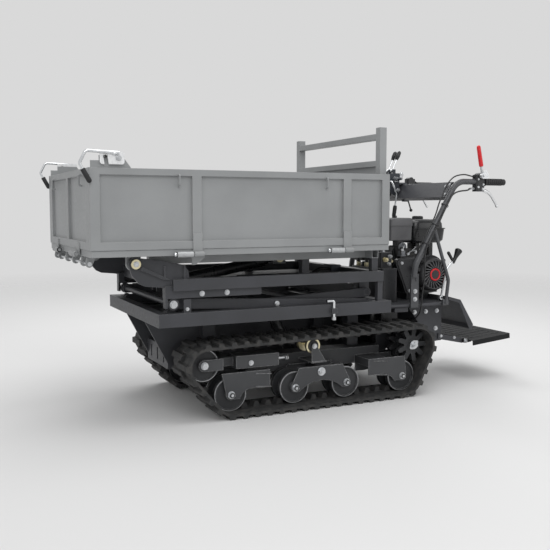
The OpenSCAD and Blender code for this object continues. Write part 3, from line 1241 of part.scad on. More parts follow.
// Gear lever with a flared knob beside the engine
module gear_lever() color("#2a2b2d") placed() {
    x = gear_x;
    y = gear_y;
    z = gear_z;
    lean = 30;
    difference() {
        union() {
            bar_along_y(x, z, y - 6.5, y + 6.5, 12);
            bent_bar([[x, y, z], [x + 34, y, z + 150], [x + 92, y, z + 204]], 6, 40);
            translate([x + 80, y, z + 192]) rotate([0, lean, 0]) rotate_extrude()
                polygon([[0, 0], [10, 0], [11, 20], [20, 58], [18, 66], [0, 70]]);
        }
        bar_along_y(x, z, y - 8, y + 8, clutch_pin_r + pin_clear);
    }
}
// Throttle lever under the control panel
module throttle_lever() color("#303133") placed() {
    x = throttle_x;
    y = throttle_y;
    z = throttle_z;
    difference() {
        union() {
            bar_along_y(x, z, y - 5, y + 5, 10);
            link([x, y, z], [x + 26, y, z - 70], 4);
            translate([x + 26, y, z - 70]) sphere(9);
        }
        bar_along_y(x, z, y - 8, y + 8, lever_pin_r + pin_clear);
    }
}
// Folding footplate for the operator, with ribs across its top
module footplate() color("#3a3b3d") placed() {
    t = 4;
    ear_y = chassis_half_w + 9;
    slope = 5;
    translate([foot_x0, 0, foot_z]) rotate([0, -slope, 0]) {
        box(18, foot_x1 - foot_x0, -foot_half_w, foot_half_w, 0, t);
        box(18, foot_x1 - foot_x0, -foot_half_w, -foot_half_w + t, -24, t);
        box(18, foot_x1 - foot_x0, foot_half_w - t, foot_half_w, -24, t);
        box(foot_x1 - foot_x0 - t, foot_x1 - foot_x0, -foot_half_w, foot_half_w, -24, t);
        for (k = [0 : 8])
            box(40, foot_x1 - foot_x0 - 24, -200 + k * 50 - 3, -200 + k * 50 + 3, t - eps, t + 3);
        both_sides() difference() {
            union() {
                bar_along_y(0, 0, ear_y, ear_y + 12, 13);
                box(0, 40, ear_y, ear_y + 12, -12, 4);
            }
            bar_along_y(0, 0, ear_y - 1, ear_y + 13, 7 + pin_clear);
        }
    }
}
// Bolts of the fixed structure: handlebar feet, rear side plates and deck
module bolt_head(x, y, z) {
    bar_along_y(x, z, y, y + 7, 9);
}
module fasteners() color("#d4d4d0") placed() both_sides() {
    for (z = [deck_z + 26, deck_z + 66]) bolt_head(bar_x0 + 9, deck_half_w + 12, z);
    for (x = [1738, 1810, 1882]) bolt_head(x, chassis_half_w, 384);
    bolt_head(1876, chassis_half_w, 290);
}

chassis_frame();
base_frame();
engine_deck();
rear_guard();
track_frames();
track_left();
track_right();
sprocket_left();
sprocket_right();
idler_left();
idler_right();
front_roller_left();
front_roller_right();
rear_roller_left();
rear_roller_right();
bogie_left();
bogie_right();
bogie_front_roller_left();
bogie_front_roller_right();
bogie_rear_roller_left();
bogie_rear_roller_right();
carrier_roller_left();
carrier_roller_right();
scissor_outer();
scissor_inner();
lift_barrel();
lift_rod();
lift_frame();
tip_rod();
tip_barrel();
bed_floor();
headboard();
side_left();
side_right();
front_gate();
latch_left();
latch_right();
gearbox();
engine_block();
recoil_cover();
fuel_tank();
air_cleaner();
muffler();
belt_guard();
hydraulic_tank();
valve_block();
lift_valve_lever();
tip_valve_lever();
hoses();
handlebars();
control_panel();
grips();
lever_perches();
brake_lever_left();
brake_lever_right();
clutch_lever();
gear_lever();
throttle_lever();
footplate();
fasteners();
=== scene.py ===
import math

import bmesh
import bpy
from mathutils import Matrix, Vector


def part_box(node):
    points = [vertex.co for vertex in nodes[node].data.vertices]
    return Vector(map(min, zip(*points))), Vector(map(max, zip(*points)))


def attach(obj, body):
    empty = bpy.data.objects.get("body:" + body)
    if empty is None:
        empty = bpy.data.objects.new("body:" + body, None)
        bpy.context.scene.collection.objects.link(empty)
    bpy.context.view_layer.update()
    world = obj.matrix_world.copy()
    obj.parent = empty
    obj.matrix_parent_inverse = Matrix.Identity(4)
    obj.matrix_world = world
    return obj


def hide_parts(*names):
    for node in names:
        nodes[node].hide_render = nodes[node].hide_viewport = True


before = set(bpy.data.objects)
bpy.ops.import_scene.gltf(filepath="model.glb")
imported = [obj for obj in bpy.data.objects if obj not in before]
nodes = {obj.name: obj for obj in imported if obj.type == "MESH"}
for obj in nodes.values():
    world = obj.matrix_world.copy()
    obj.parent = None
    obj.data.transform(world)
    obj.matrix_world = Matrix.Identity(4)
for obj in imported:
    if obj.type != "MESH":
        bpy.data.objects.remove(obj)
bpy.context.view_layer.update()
print("frame loaded, nodes:", len(nodes))


# Colours are written as sRGB hex
def toLinear(hexColour):
    parts = [int(hexColour[i:i + 2], 16) / 255 for i in (1, 3, 5)]
    linear = [c / 12.92 if c <= 0.04045 else ((c + 0.055) / 1.055) ** 2.4 for c in parts]
    return (*linear, 1.0)


# Adds one node with its settings; an input may be a value or another node's output
def addNode(tree, kind, settings=None, inputs=None):
    node = tree.nodes.new(kind)
    for key, value in (settings or {}).items():
        setattr(node, key, value)
    for key, value in (inputs or {}).items():
        if isinstance(value, bpy.types.NodeSocket):
            tree.links.new(value, node.inputs[key])
        else:
            node.inputs[key].default_value = value
    return node


def newMaterial(name):
    material = bpy.data.materials.new(name)
    material.use_nodes = True
    tree = material.node_tree
    tree.nodes.clear()
    coords = addNode(tree, "ShaderNodeTexCoord").outputs["Object"]
    return material, tree, coords


def perMm(size):
    return 1000 / size  # texture scale whose features are this many mm


# A second colour in clouds over the base; gives the mixed colour and the clouds
def clouded(tree, coords, look, second, detail, low, high, amount=1.0):
    clouds = addNode(tree, "ShaderNodeTexNoise", {}, {
        "Vector": coords, "Scale": perMm(look[second + "Mm"]), "Detail": detail}).outputs[0]
    share = addNode(tree, "ShaderNodeMapRange", {}, {
        "Value": clouds, "From Min": low, "From Max": high, "To Max": amount}).outputs[0]
    colour = addNode(tree, "ShaderNodeMix", {"data_type": "RGBA"}, {
        "Factor": share, "A": toLinear(look["base"]), "B": toLinear(look[second])}).outputs["Result"]
    return colour, clouds


# Ends a material: roughness between two values by a texture, a bump for relief, and constants
def addShader(tree, colour, uneven, low, high, relief, constants):
    rough = addNode(tree, "ShaderNodeMapRange", {}, {
        "Value": uneven, "From Min": 0.3, "From Max": 0.7, "To Min": low, "To Max": high}).outputs[0]
    bump = addNode(tree, "ShaderNodeBump", {}, relief).outputs[0]
    shader = addNode(tree, "ShaderNodeBsdfPrincipled", {}, {
        "Base Color": colour, "Roughness": rough, "Normal": bump, **constants})
    addNode(tree, "ShaderNodeOutputMaterial", {}, {"Surface": shader.outputs["BSDF"]})


# Enamel on welded steel: low sheen, faint clouding, a film of dust on level faces, and paler edges that are
# partly rubbed wear and partly a painted highlight
def enamel(name, look):
    material, tree, coords = newMaterial(name)
    colour, _ = clouded(tree, coords, look, "cloud", 5, 0.35, 0.65)
    specks = addNode(tree, "ShaderNodeTexNoise", {}, {
        "Vector": coords, "Scale": perMm(look["dustMm"]), "Detail": 6}).outputs[0]
    normal = addNode(tree, "ShaderNodeNewGeometry").outputs["Normal"]
    upward = addNode(tree, "ShaderNodeSeparateXYZ", {}, {0: normal}).outputs[2]
    rounded = addNode(tree, "ShaderNodeBevel", {"samples": 4}, {"Radius": look["edgeMm"] / 1000}).outputs[0]
    facing = addNode(tree, "ShaderNodeVectorMath", {"operation": "DOT_PRODUCT"}, {
        0: rounded, 1: normal}).outputs["Value"]
    # dust lies on what faces up; on what bends lies rubbed wear together with a painted highlight, and the
    # specks break up both
    layers = {
        "dust": ({"Value": upward, "From Min": 0.6, "To Max": look["dustAmount"]},
                 {"Value": specks, "From Min": 0.3, "From Max": 0.7, "To Min": 0.4}),
        # paler edges: rubbed wear and a painted highlight, strongest where the faces bend most
        "edge": ({"Value": facing, "From Min": 0.97, "From Max": 0.75, "To Max": look["edgeWearAndHighlightAmount"]},
                 {"Value": specks, "From Min": 0.35, "From Max": 0.6, "To Min": 0.3}),
    }
    for layer, (lie, breaks) in layers.items():
        lying, broken = (addNode(tree, "ShaderNodeMapRange", {}, span).outputs[0] for span in (lie, breaks))
        amount = addNode(tree, "ShaderNodeMath", {"operation": "MULTIPLY"}, {0: lying, 1: broken}).outputs[0]
        colour = addNode(tree, "ShaderNodeMix", {"data_type": "RGBA"}, {
            "Factor": amount, "A": colour, "B": toLinear(look[layer])}).outputs["Result"]
    # spray orange peel is about 1 mm, drawn wider so that it shows
    peel = addNode(tree, "ShaderNodeTexNoise", {}, {
        "Vector": coords, "Scale": perMm(look["peelMm"]), "Detail": 2}).outputs[0]
    relief = {"Strength": look["peel"], "Distance": 0.0006, "Height": peel, "Normal": rounded}
    addShader(tree, colour, specks, look["rough"] - 0.06, look["rough"] + 0.08, relief,
              {"Specular IOR Level": look["shine"]})
    return material


# Each look's edge colour, and how much of it shows, is partly rubbed wear and partly a painted highlight
# along the edges; the cut plates carry the strongest painted highlight
bedEnamelLook = {"base": "#87898a", "cloud": "#8f9192", "cloudMm": 240, "dust": "#a3a3a1", "dustMm": 14,
                 "dustAmount": 0.35, "edge": "#bfc1c2", "edgeMm": 4, "edgeWearAndHighlightAmount": 0.6, "rough": 0.46,
                 "shine": 0.5, "peelMm": 5, "peel": 0.12}
frameEnamelLook = {"base": "#3a3b3e", "cloud": "#404145", "cloudMm": 180, "dust": "#454442", "dustMm": 12,
                   "dustAmount": 0.12, "edge": "#7c7d7f", "edgeMm": 4.5, "edgeWearAndHighlightAmount": 0.7, "rough": 0.44,
                   "shine": 0.35, "peelMm": 4, "peel": 0.14}
treadEnamelLook = {**frameEnamelLook, "base": "#1d1e1f", "cloud": "#232425", "dust": "#2b2a29", "rough": 0.6,
                   "shine": 0.15}
plateEnamelLook = {**frameEnamelLook, "base": "#3e3f41", "cloud": "#454648", "dust": "#555350", "rough": 0.5,
                   "edge": "#b0b1b2", "edgeMm": 6.5, "edgeWearAndHighlightAmount": 1.0}
wheelEnamelLook = {**frameEnamelLook, "base": "#2e2f31", "cloud": "#353638", "edge": "#8b8c8c", "edgeMm": 2.5,
                   "edgeWearAndHighlightAmount": 0.9, "rough": 0.5}
# The tube paint is glossier than the frame's, and its lighter base colour is a painted sheen along the round
# tubes
tubeEnamelWithPaintedSheenLook = {**frameEnamelLook, "base": "#424346", "cloud": "#494a4d", "rough": 0.36, "shine": 0.5}
ramEnamelLook = {**frameEnamelLook, "base": "#1f2022", "cloud": "#242527", "rough": 0.3, "dustAmount": 0.3,
                 "shine": 0.5}
engineEnamelLook = {**frameEnamelLook, "base": "#1d1e20", "cloud": "#232427", "rough": 0.32, "shine": 0.5}
valveEnamelLook = {**frameEnamelLook, "base": "#2c3036", "cloud": "#33373e", "rough": 0.42}
bedEnamel = enamel("gray_enamel_sprayed", bedEnamelLook)
frameEnamel = enamel("black_enamel_sprayed", frameEnamelLook)
treadEnamel = enamel("black_enamel_on_pressed_sheet", treadEnamelLook)
plateEnamel = enamel("charcoal_enamel_on_cut_plate", plateEnamelLook)
wheelEnamel = enamel("black_enamel_on_cast_iron", wheelEnamelLook)
tubeEnamelWithPaintedSheen = enamel("satin_black_enamel_on_tube", tubeEnamelWithPaintedSheenLook)
ramEnamel = enamel("gloss_black_enamel_on_tube", ramEnamelLook)
engineEnamel = enamel("black_enamel_on_die_casting", engineEnamelLook)
valveEnamel = enamel("blue_black_enamel_on_casting", valveEnamelLook)


# Moulded rubber: dull, slightly dusty, with the fine pitting of the mould
def mouldedRubber(name, look):
    material, tree, coords = newMaterial(name)
    colour, dusty = clouded(tree, coords, look, "dust", 6, 0.38, 0.66)
    pits = addNode(tree, "ShaderNodeTexVoronoi", {}, {"Vector": coords, "Scale": perMm(look["pitMm"])})
    relief = {"Strength": look["pit"], "Distance": 0.0008, "Height": pits.outputs[0]}
    addShader(tree, colour, dusty, look["rough"] - 0.08, look["rough"] + 0.06, relief,
              {"IOR": 1.52, "Specular IOR Level": look["shine"]})
    return material


trackRubberLook = {"base": "#292a2b", "dust": "#3e3d3c", "dustMm": 26, "pitMm": 4, "pit": 0.25,
                   "rough": 0.78, "shine": 0.4}
softRubberLook = {"base": "#19191b", "dust": "#222224", "dustMm": 18, "pitMm": 2.5, "pit": 0.18,
                  "rough": 0.6, "shine": 0.45}
hoseRubberLook = {"base": "#161618", "dust": "#1f1f21", "dustMm": 12, "pitMm": 2, "pit": 0.12,
                  "rough": 0.5, "shine": 0.5}
trackRubber = mouldedRubber("natural_rubber_moulded_track", trackRubberLook)
softRubber = mouldedRubber("soft_rubber_moulded", softRubberLook)
hoseRubber = mouldedRubber("hose_rubber_extruded", hoseRubberLook)


# Plated or bare metal: bright, with fine scratches and a little staining
def bareMetal(name, look):
    material, tree, coords = newMaterial(name)
    colour, _ = clouded(tree, coords, look, "stain", 5, 0.4, 0.7, look["stainAmount"])
    grit = addNode(tree, "ShaderNodeTexNoise", {}, {
        "Vector": coords, "Scale": perMm(look["gritMm"]), "Detail": 3}).outputs[0]
    relief = {"Strength": look["grit"], "Distance": 0.0003, "Height": grit}
    addShader(tree, colour, grit, look["rough"] - 0.06, look["rough"] + 0.08, relief,
              {"Metallic": look["metallic"]})
    return material


brightZincLook = {"base": "#cfd1d3", "stain": "#a3a5a8", "stainMm": 9, "stainAmount": 0.5, "metallic": 0.9,
                  "rough": 0.3, "gritMm": 1.5, "grit": 0.15}
whiteZincLook = {**brightZincLook, "base": "#e8e9ea", "stain": "#c6c7c8", "metallic": 0.5, "rough": 0.42}
dullZincLook = {**brightZincLook, "base": "#b7b9ba", "stain": "#9a9c9e", "metallic": 0.6, "rough": 0.46}
yellowZincLook = {**brightZincLook, "base": "#e6ddbb", "stain": "#d0c198", "rough": 0.34}
hardChromeLook = {"base": "#dfe1e3", "stain": "#c4c7ca", "stainMm": 20, "stainAmount": 0.4, "metallic": 1.0,
                  "rough": 0.14, "gritMm": 1.2, "grit": 0.04}
polishedAlloyLook = {"base": "#e0e1e2", "stain": "#c4c5c7", "stainMm": 14, "stainAmount": 0.5,
                     "metallic": 0.95, "rough": 0.26, "gritMm": 1.2, "grit": 0.08}
castAlloyLook = {"base": "#84868a", "stain": "#66686c", "stainMm": 12, "stainAmount": 0.6, "metallic": 0.8,
                 "rough": 0.5, "gritMm": 2.0, "grit": 0.4}
blackSteelLook = {"base": "#2b2b2c", "stain": "#3a3734", "stainMm": 8, "stainAmount": 0.7, "metallic": 0.4,
                  "rough": 0.5, "gritMm": 1.5, "grit": 0.2}
wornSteelLook = {"base": "#a8a9ab", "stain": "#6e6f71", "stainMm": 16, "stainAmount": 0.7, "metallic": 0.7,
                 "rough": 0.38, "gritMm": 2.0, "grit": 0.2}
brightZinc = bareMetal("bright_zinc_plate", brightZincLook)
whiteZinc = bareMetal("white_zinc_plate_barrelled", whiteZincLook)
dullZinc = bareMetal("zinc_plate_weathered", dullZincLook)
yellowZinc = bareMetal("yellow_zinc_plate", yellowZincLook)
hardChrome = bareMetal("hard_chrome_ground", hardChromeLook)
polishedAlloy = bareMetal("aluminium_polished", polishedAlloyLook)
castAlloy = bareMetal("aluminium_die_cast", castAlloyLook)
blackSteel = bareMetal("black_oxide_steel", blackSteelLook)
wornSteel = bareMetal("cast_iron_rubbed_bright", wornSteelLook)


# Moulded plastic: even colour, a fine leathery grain, soft highlights
def mouldedPlastic(name, look):
    material, tree, coords = newMaterial(name)
    colour, hazy = clouded(tree, coords, look, "haze", 4, 0.35, 0.68)
    grain = addNode(tree, "ShaderNodeTexVoronoi", {}, {"Vector": coords, "Scale": perMm(look["grainMm"])})
    relief = {"Strength": look["grain"], "Distance": 0.0004, "Height": grain.outputs[0]}
    addShader(tree, colour, hazy, look["rough"] - 0.05, look["rough"] + 0.07, relief, {"IOR": 1.5})
    return material


blackAbsLook = {"base": "#1e1f21", "haze": "#26272a", "hazeMm": 40, "grainMm": 2.5, "grain": 0.15,
                "rough": 0.42}
grayAbsLook = {**blackAbsLook, "base": "#323234", "haze": "#39393b", "rough": 0.48}
slateAbsLook = {**blackAbsLook, "base": "#505052", "haze": "#575759", "rough": 0.46}
shinyAbsLook = {**blackAbsLook, "base": "#141517", "haze": "#1a1b1d", "rough": 0.28, "grain": 0.05}
redVinylLook = {"base": "#c4151c", "haze": "#d0222a", "hazeMm": 20, "grainMm": 3, "grain": 0.08,
                "rough": 0.34}
blackAbs = mouldedPlastic("abs_moulded_black", blackAbsLook)
grayAbs = mouldedPlastic("abs_moulded_charcoal", grayAbsLook)
slateAbs = mouldedPlastic("abs_moulded_slate", slateAbsLook)
shinyAbs = mouldedPlastic("abs_moulded_gloss_black", shinyAbsLook)
redVinyl = mouldedPlastic("vinyl_dipped_red", redVinylLook)
print("materials made:", len(bpy.data.materials))


def bothSides(*names):
    return [name + end for name in names for end in ("_left", "_right")]


finishes = {
    frameEnamel: ["chassis_frame", "base_frame", "engine_deck", "rear_guard", "scissor_outer",
                  "scissor_inner", "lift_frame", "belt_guard", "control_panel"],
    tubeEnamelWithPaintedSheen: ["handlebars"],
    treadEnamel: ["footplate"],
    plateEnamel: ["track_frames", *bothSides("bogie")],
    trackRubber: bothSides("track"),
    wheelEnamel: bothSides("sprocket", "idler", "front_roller", "rear_roller", "bogie_front_roller",
                           "bogie_rear_roller"),
    yellowZinc: bothSides("carrier_roller"),
    ramEnamel: ["lift_barrel", "tip_barrel"],
    hardChrome: ["lift_rod", "tip_rod"],
    bedEnamel: ["bed_floor", "headboard", "side_left", "side_right", "front_gate"],
    brightZinc: [*bothSides("latch"), "fasteners"],
    engineEnamel: ["gearbox", "engine_block", "hydraulic_tank"],
    blackAbs: ["recoil_cover", "fuel_tank", "gear_lever", "throttle_lever", "lift_valve_lever",
               "tip_valve_lever", "lever_perches"],
    grayAbs: ["air_cleaner"],
    blackSteel: ["muffler"],
    valveEnamel: ["valve_block"],
    hoseRubber: ["hoses"],
    softRubber: ["grips"],
    polishedAlloy: bothSides("brake_lever"),
    redVinyl: ["clutch_lever"],
}
for material, names in finishes.items():
    for name in names:
        mesh = nodes[name].data
        mesh.materials.clear()
        mesh.materials.append(material)
print("CAD nodes dressed")

bedFrontToMiddle = 1146  # mm from the bed's front face to the middle of the machine
trackMiddle = 320  # mm from the machine's middle to the middle of a track
crispAngle = 38  # degrees between two faces, past which their edge stays crisp
sides = {"left": 1, "right": -1}
near = (0, -1, 0)  # out of the right side, which faces the camera


# A place in mm, counted along the machine from the bed's front face
def at(x, y, z):
    return Vector(((x - bedFrontToMiddle) / 1000, y / 1000, z / 1000))


# Points near a place, as (along, up) steps in mm
def beside(place, steps):
    x, y, z = place
    return [at(x + along, y, z + up) for along, up in steps]


# Rounds the corners of a path; its points are in metres and the bend in mm
def filleted(points, bend, steps=6):
    path = [points[0]]
    for before, corner, after in zip(points, points[1:], points[2:]):
        back, ahead = before - corner, after - corner
        halfTurn = back.angle(ahead) / 2
        if halfTurn > math.radians(89):
            path.append(corner)
            continue
        cut = min(bend / 1000 / math.tan(halfTurn), 0.48 * min(back.length, ahead.length))
        reach = cut / math.cos(halfTurn)
        centre = corner + (back.normalized() + ahead.normalized()).normalized() * reach
        start, end = corner + back.normalized() * cut - centre, corner + ahead.normalized() * cut - centre
        path += [centre + start.normalized().slerp(end.normalized(), k / steps) * start.length
                 for k in range(steps + 1)]
    return path + [points[-1]]


# A smooth curve through points, for hoses and cables
def flowing(points, steps):
    last = len(points) - 1
    path = []
    for i in range(last):
        a, b, c, d = (points[min(max(i + k, 0), last)] for k in (-1, 0, 1, 2))
        for k in range(steps):
            t = k / steps
            path.append((2 * b + (c - a) * t + (2 * a - 5 * b + 4 * c - d) * t ** 2
                         + (3 * b - a - 3 * c + d) * t ** 3) / 2)
    return path + [points[last]]


# Points of a ring in the plane of two directions; radius in mm
def ringOf(middle, across, other, radius, around):
    turns = [2 * math.pi * k / around for k in range(around)]
    return [middle + (across * math.cos(a) + other * math.sin(a)) * radius / 1000 for a in turns]


# Faces from each ring of points to the next, or back to the first; and the two end faces
def skin(rings, around, closed=False):
    faces = []
    for i in range(rings if closed else rings - 1):
        j = (i + 1) % rings
        for k in range(around):
            n = (k + 1) % around
            faces.append((i * around + k, i * around + n, j * around + n, j * around + k))
    return faces


def endFaces(rings, around):
    return [tuple(reversed(range(around))), tuple(range((rings - 1) * around, rings * around))]


# A round bar along a path; radius in mm, one for all or one for each point
def swept(path, radius, around=14, dome=False):
    radii = list(radius) if isinstance(radius, (list, tuple)) else [radius] * len(path)
    if dome:
        tip = (path[-1] - path[-2]).normalized() * radii[-1] / 1000
        turns = [math.radians(a) for a in (30, 60, 85)]
        path = path + [path[-1] + tip * math.sin(a) for a in turns]
        radii = radii + [radii[-1] * math.cos(a) for a in turns]
    last = len(path) - 1
    across = (path[1] - path[0]).orthogonal()
    verts = []
    for i, point in enumerate(path):
        ahead = (path[min(i + 1, last)] - path[max(i - 1, 0)]).normalized()
        across = (across - ahead * across.dot(ahead)).normalized()
        verts += ringOf(point, across, ahead.cross(across), radii[i], around)
    return verts, skin(len(path), around) + endFaces(len(path), around)


# A lathe-turned shape: (radius, along) pairs in mm from a centre along an axis
def turned(profile, centre, axis, around=32):
    axis = Vector(axis).normalized()
    across = axis.orthogonal().normalized()
    other = axis.cross(across)
    verts = []
    for radius, along in profile:
        verts += ringOf(centre + axis * along / 1000, across, other, radius, around)
    closed = profile[0][0] > 0 and profile[-1][0] > 0  # a ring: its profile joins up
    return verts, skin(len(profile), around, closed)


# Profiles to turn: a plain cylinder, and one with both ends chamfered
def plainEnds(radius, low, high):
    return [(0, low), (radius, low), (radius, high), (0, high)]


def chamfered(radius, low, high, cut):
    inner = radius - cut
    return [(0, low), (inner, low), (radius, low + cut), (radius, high - cut), (inner, high), (0, high)]


# A flat plate: an outline and a thickness in mm, set in space by place(u, v, w)
def cutPlate(outline, thick, place):
    count = len(outline)
    verts = [place(u, v, w) for w in (0, thick) for u, v in outline]
    return verts, endFaces(2, count) + skin(2, count)


# A plate that stands along the machine, with its thickness going from y one way
def uprightPlate(outline, thick, y, way=1):
    return cutPlate(outline, thick, lambda u, v, w: at(u, y + way * w, v))


# A plate across the machine, with its thickness going back from x
def crossPlate(outline, thick, x):
    return cutPlate(outline, thick, lambda u, v, w: at(x + w, u, v))


# Corner arcs for a flat outline
def arc(u, v, radius, start, end, steps=6):
    turns = [math.radians(start + (end - start) * k / steps) for k in range(steps + 1)]
    return [(u + radius * math.cos(a), v + radius * math.sin(a)) for a in turns]


def roundedBox(u0, u1, v0, v1, radius):
    left, right, low, high = u0 + radius, u1 - radius, v0 + radius, v1 - radius
    return [*arc(right, high, radius, 0, 90), *arc(left, high, radius, 90, 180),
            *arc(left, low, radius, 180, 270), *arc(right, low, radius, 270, 360)]


# An outline from radii that are evenly spread round a middle
def lobed(radii):
    turns = [2 * math.pi * k / len(radii) for k in range(len(radii))]
    return [(r * math.cos(a), r * math.sin(a)) for r, a in zip(radii, turns)]


# A body lofted through rounded rectangles: (height, half along, half across, corner) in mm about a middle
def lofted(x, y, sections):
    verts = []
    for z, along, across, corner in sections:
        verts += [at(x + u, y + v, z) for u, v in roundedBox(-along, along, -across, across, corner)]
    count = len(verts) // len(sections)
    return verts, skin(len(sections), count) + endFaces(len(sections), count)


# One mesh from several shapes, merged, turned outwards, with soft or crisp edges by their angle
def joined(shapes, bevel, sharp):
    shape = bmesh.new()
    for verts, faces in shapes:
        made = [shape.verts.new(v) for v in verts]
        for face in faces:
            shape.faces.new([made[i] for i in face])
    bmesh.ops.remove_doubles(shape, verts=shape.verts, dist=1e-6)
    bmesh.ops.recalc_face_normals(shape, faces=shape.faces)
    if bevel:
        crisp = [e for e in shape.edges
                 if len(e.link_faces) == 2 and e.calc_face_angle() > math.radians(sharp)]
        bmesh.ops.bevel(shape, geom=crisp, offset=bevel / 1000, segments=2, affect="EDGES",
                        clamp_overlap=True)
    mesh = bpy.data.meshes.new("joined")
    shape.to_mesh(mesh)
    shape.free()
    mesh.shade_smooth()
    mesh.set_sharp_from_angle(angle=math.radians(sharp))
    return mesh


# Adds a piece from shapes, or from a mesh that is ready, and puts it on its body
def addPiece(name, shapes, material, body="carrier", replaced=(), bevel=0, sharp=crispAngle):
    mesh = shapes if isinstance(shapes, bpy.types.Mesh) else joined(shapes, bevel, sharp)
    mesh.name = name
    mesh.materials.clear()
    mesh.materials.append(material)
    piece = bpy.data.objects.new(name, mesh)
    bpy.context.scene.collection.objects.link(piece)
    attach(piece, body)
    if replaced:
        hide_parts(*replaced)
    return piece


# Starts a Geometry Nodes tree that takes named sizes and a material
def startTree(name, labels):
    tree = bpy.data.node_groups.new(name, "GeometryNodeTree")
    tree.interface.new_socket("Geometry", in_out="OUTPUT", socket_type="NodeSocketGeometry")
    tree.interface.new_socket("Geometry", in_out="INPUT", socket_type="NodeSocketGeometry")
    kinds = {**dict.fromkeys(labels, "NodeSocketFloat"), "Material": "NodeSocketMaterial"}
    keys = {}
    for label, kind in kinds.items():
        keys[label] = tree.interface.new_socket(label, in_out="INPUT", socket_type=kind).identifier
    return tree, addNode(tree, "NodeGroupInput"), keys


# Ends a tree: an instance on each point, made real and given the material
def endTree(tree, inlet, points, instance, settings):
    placed = addNode(tree, "GeometryNodeInstanceOnPoints", {}, {
        "Points": points, "Instance": instance, **settings})
    real = addNode(tree, "GeometryNodeRealizeInstances", {}, {0: placed.outputs[0]})
    dressed = addNode(tree, "GeometryNodeSetMaterial", {}, {
        "Geometry": real.outputs[0], "Material": inlet.outputs["Material"]})
    addNode(tree, "NodeGroupOutput", {}, {0: dressed.outputs[0]})


# A rotation turned further about its own Z axis
def twisted(tree, rotation, angle):
    spin = addNode(tree, "ShaderNodeCombineXYZ", {}, {"Z": angle})
    twist = addNode(tree, "FunctionNodeEulerToRotation", {}, {0: spin.outputs[0]})
    return addNode(tree, "FunctionNodeRotateRotation", {"rotation_space": "LOCAL"}, {
        "Rotation": rotation, "Rotate By": twist.outputs[0]}).outputs[0]


# Runs a tree over points that each face a way, and keeps the result as one plain mesh
def grown(name, treeAndKeys, points, sizes, material, facings=None, edges=()):
    tree, keys = treeAndKeys
    seed = bpy.data.meshes.new(name + "_seed")
    seed.from_pydata(points, list(edges), [])
    facing = seed.attributes.new("facing", "FLOAT_VECTOR", "POINT")
    facing.data.foreach_set("vector", [c for f in facings or [(0, 0, 1)] * len(points) for c in f])
    source = bpy.data.objects.new(name + "_seed", seed)
    bpy.context.scene.collection.objects.link(source)
    modifier = source.modifiers.new("grow", "NODES")
    modifier.node_group = tree
    for label, value in sizes.items():
        modifier[keys[label]] = value
    modifier[keys["Material"]] = material
    bpy.context.view_layer.update()
    shown = source.evaluated_get(bpy.context.evaluated_depsgraph_get())
    mesh = bpy.data.meshes.new_from_object(shown)
    source.modifiers.remove(modifier)
    bpy.data.objects.remove(source)
    bpy.data.meshes.remove(seed)
    mesh.shade_smooth()
    mesh.set_sharp_from_angle(angle=math.radians(crispAngle))
    return mesh


# Hex bolt on a washer, with the end of its stud, instanced on points
def boltTree():
    parts = {"Washer": 24, "Head": 6, "Stud": 14}  # corners of each
    labels = [part + measure for part in parts for measure in (" radius", " height")]
    tree, inlet, keys = startTree("hex_bolts", labels)
    stack = addNode(tree, "GeometryNodeJoinGeometry")
    low = 0.0
    for part, corners in parts.items():
        tall = inlet.outputs[part + " height"]
        disc = addNode(tree, "GeometryNodeMeshCylinder", {}, {
            "Vertices": corners, "Radius": inlet.outputs[part + " radius"], "Depth": tall})
        lift = addNode(tree, "ShaderNodeMath", {"operation": "MULTIPLY_ADD"}, {0: tall, 1: 0.5, 2: low})
        offset = addNode(tree, "ShaderNodeCombineXYZ", {}, {"Z": lift.outputs[0]})
        moved = addNode(tree, "GeometryNodeTransform", {}, {
            "Geometry": disc.outputs["Mesh"], "Translation": offset.outputs[0]})
        tree.links.new(moved.outputs[0], stack.inputs[0])
        low = addNode(tree, "ShaderNodeMath", {"operation": "ADD"}, {0: tall, 1: low}).outputs[0]
    facing = addNode(tree, "GeometryNodeInputNamedAttribute", {"data_type": "FLOAT_VECTOR"}, {
        "Name": "facing"})
    aim = addNode(tree, "FunctionNodeAlignRotationToVector", {"axis": "Z"}, {"Vector": facing.outputs[0]})
    roll = addNode(tree, "FunctionNodeRandomValue", {"data_type": "FLOAT"}, {
        "Min": 0.0, "Max": 1.05, "Seed": 7})
    turn = twisted(tree, aim.outputs[0], roll.outputs["Value"])
    endTree(tree, inlet, inlet.outputs["Geometry"], stack.outputs[0], {"Rotation": turn})
    return tree, keys


hexBolts = boltTree()
boltLooks = {  # (radius, height) in mm
    "axle": {"Washer": (17, 3), "Head": (14.5, 11), "Stud": (7, 2)},
    "pivot": {"Washer": (20, 3), "Head": (15, 11), "Stud": (8, 2)},
    "plate": {"Washer": (12, 2), "Head": (9.5, 6.5), "Stud": (4.5, 2.5)},
    "small": {"Washer": (8, 1.5), "Head": (6.5, 4.5), "Stud": (3, 1.5)},
    "tiny": {"Washer": (6, 1), "Head": (4.8, 3.4), "Stud": (2.4, 1)},
    "wheel": {"Washer": (19, 3), "Head": (14.5, 11), "Stud": (8, 5)},
    "tip": {"Washer": (21, 3), "Head": (14, 9), "Stud": (7, 2)},
}


def addBolts(name, places, facing, size, body="carrier", material=brightZinc, replaced=()):
    sizes = {}
    for part, (radius, height) in boltLooks[size].items():
        sizes[part + " radius"], sizes[part + " height"] = radius / 1000, height / 1000
    facings = facing if isinstance(facing, list) else [facing] * len(places)
    mesh = grown(name, hexBolts, [at(*p) for p in places], sizes, material, facings)
    addPiece(name, mesh, material, body, replaced)


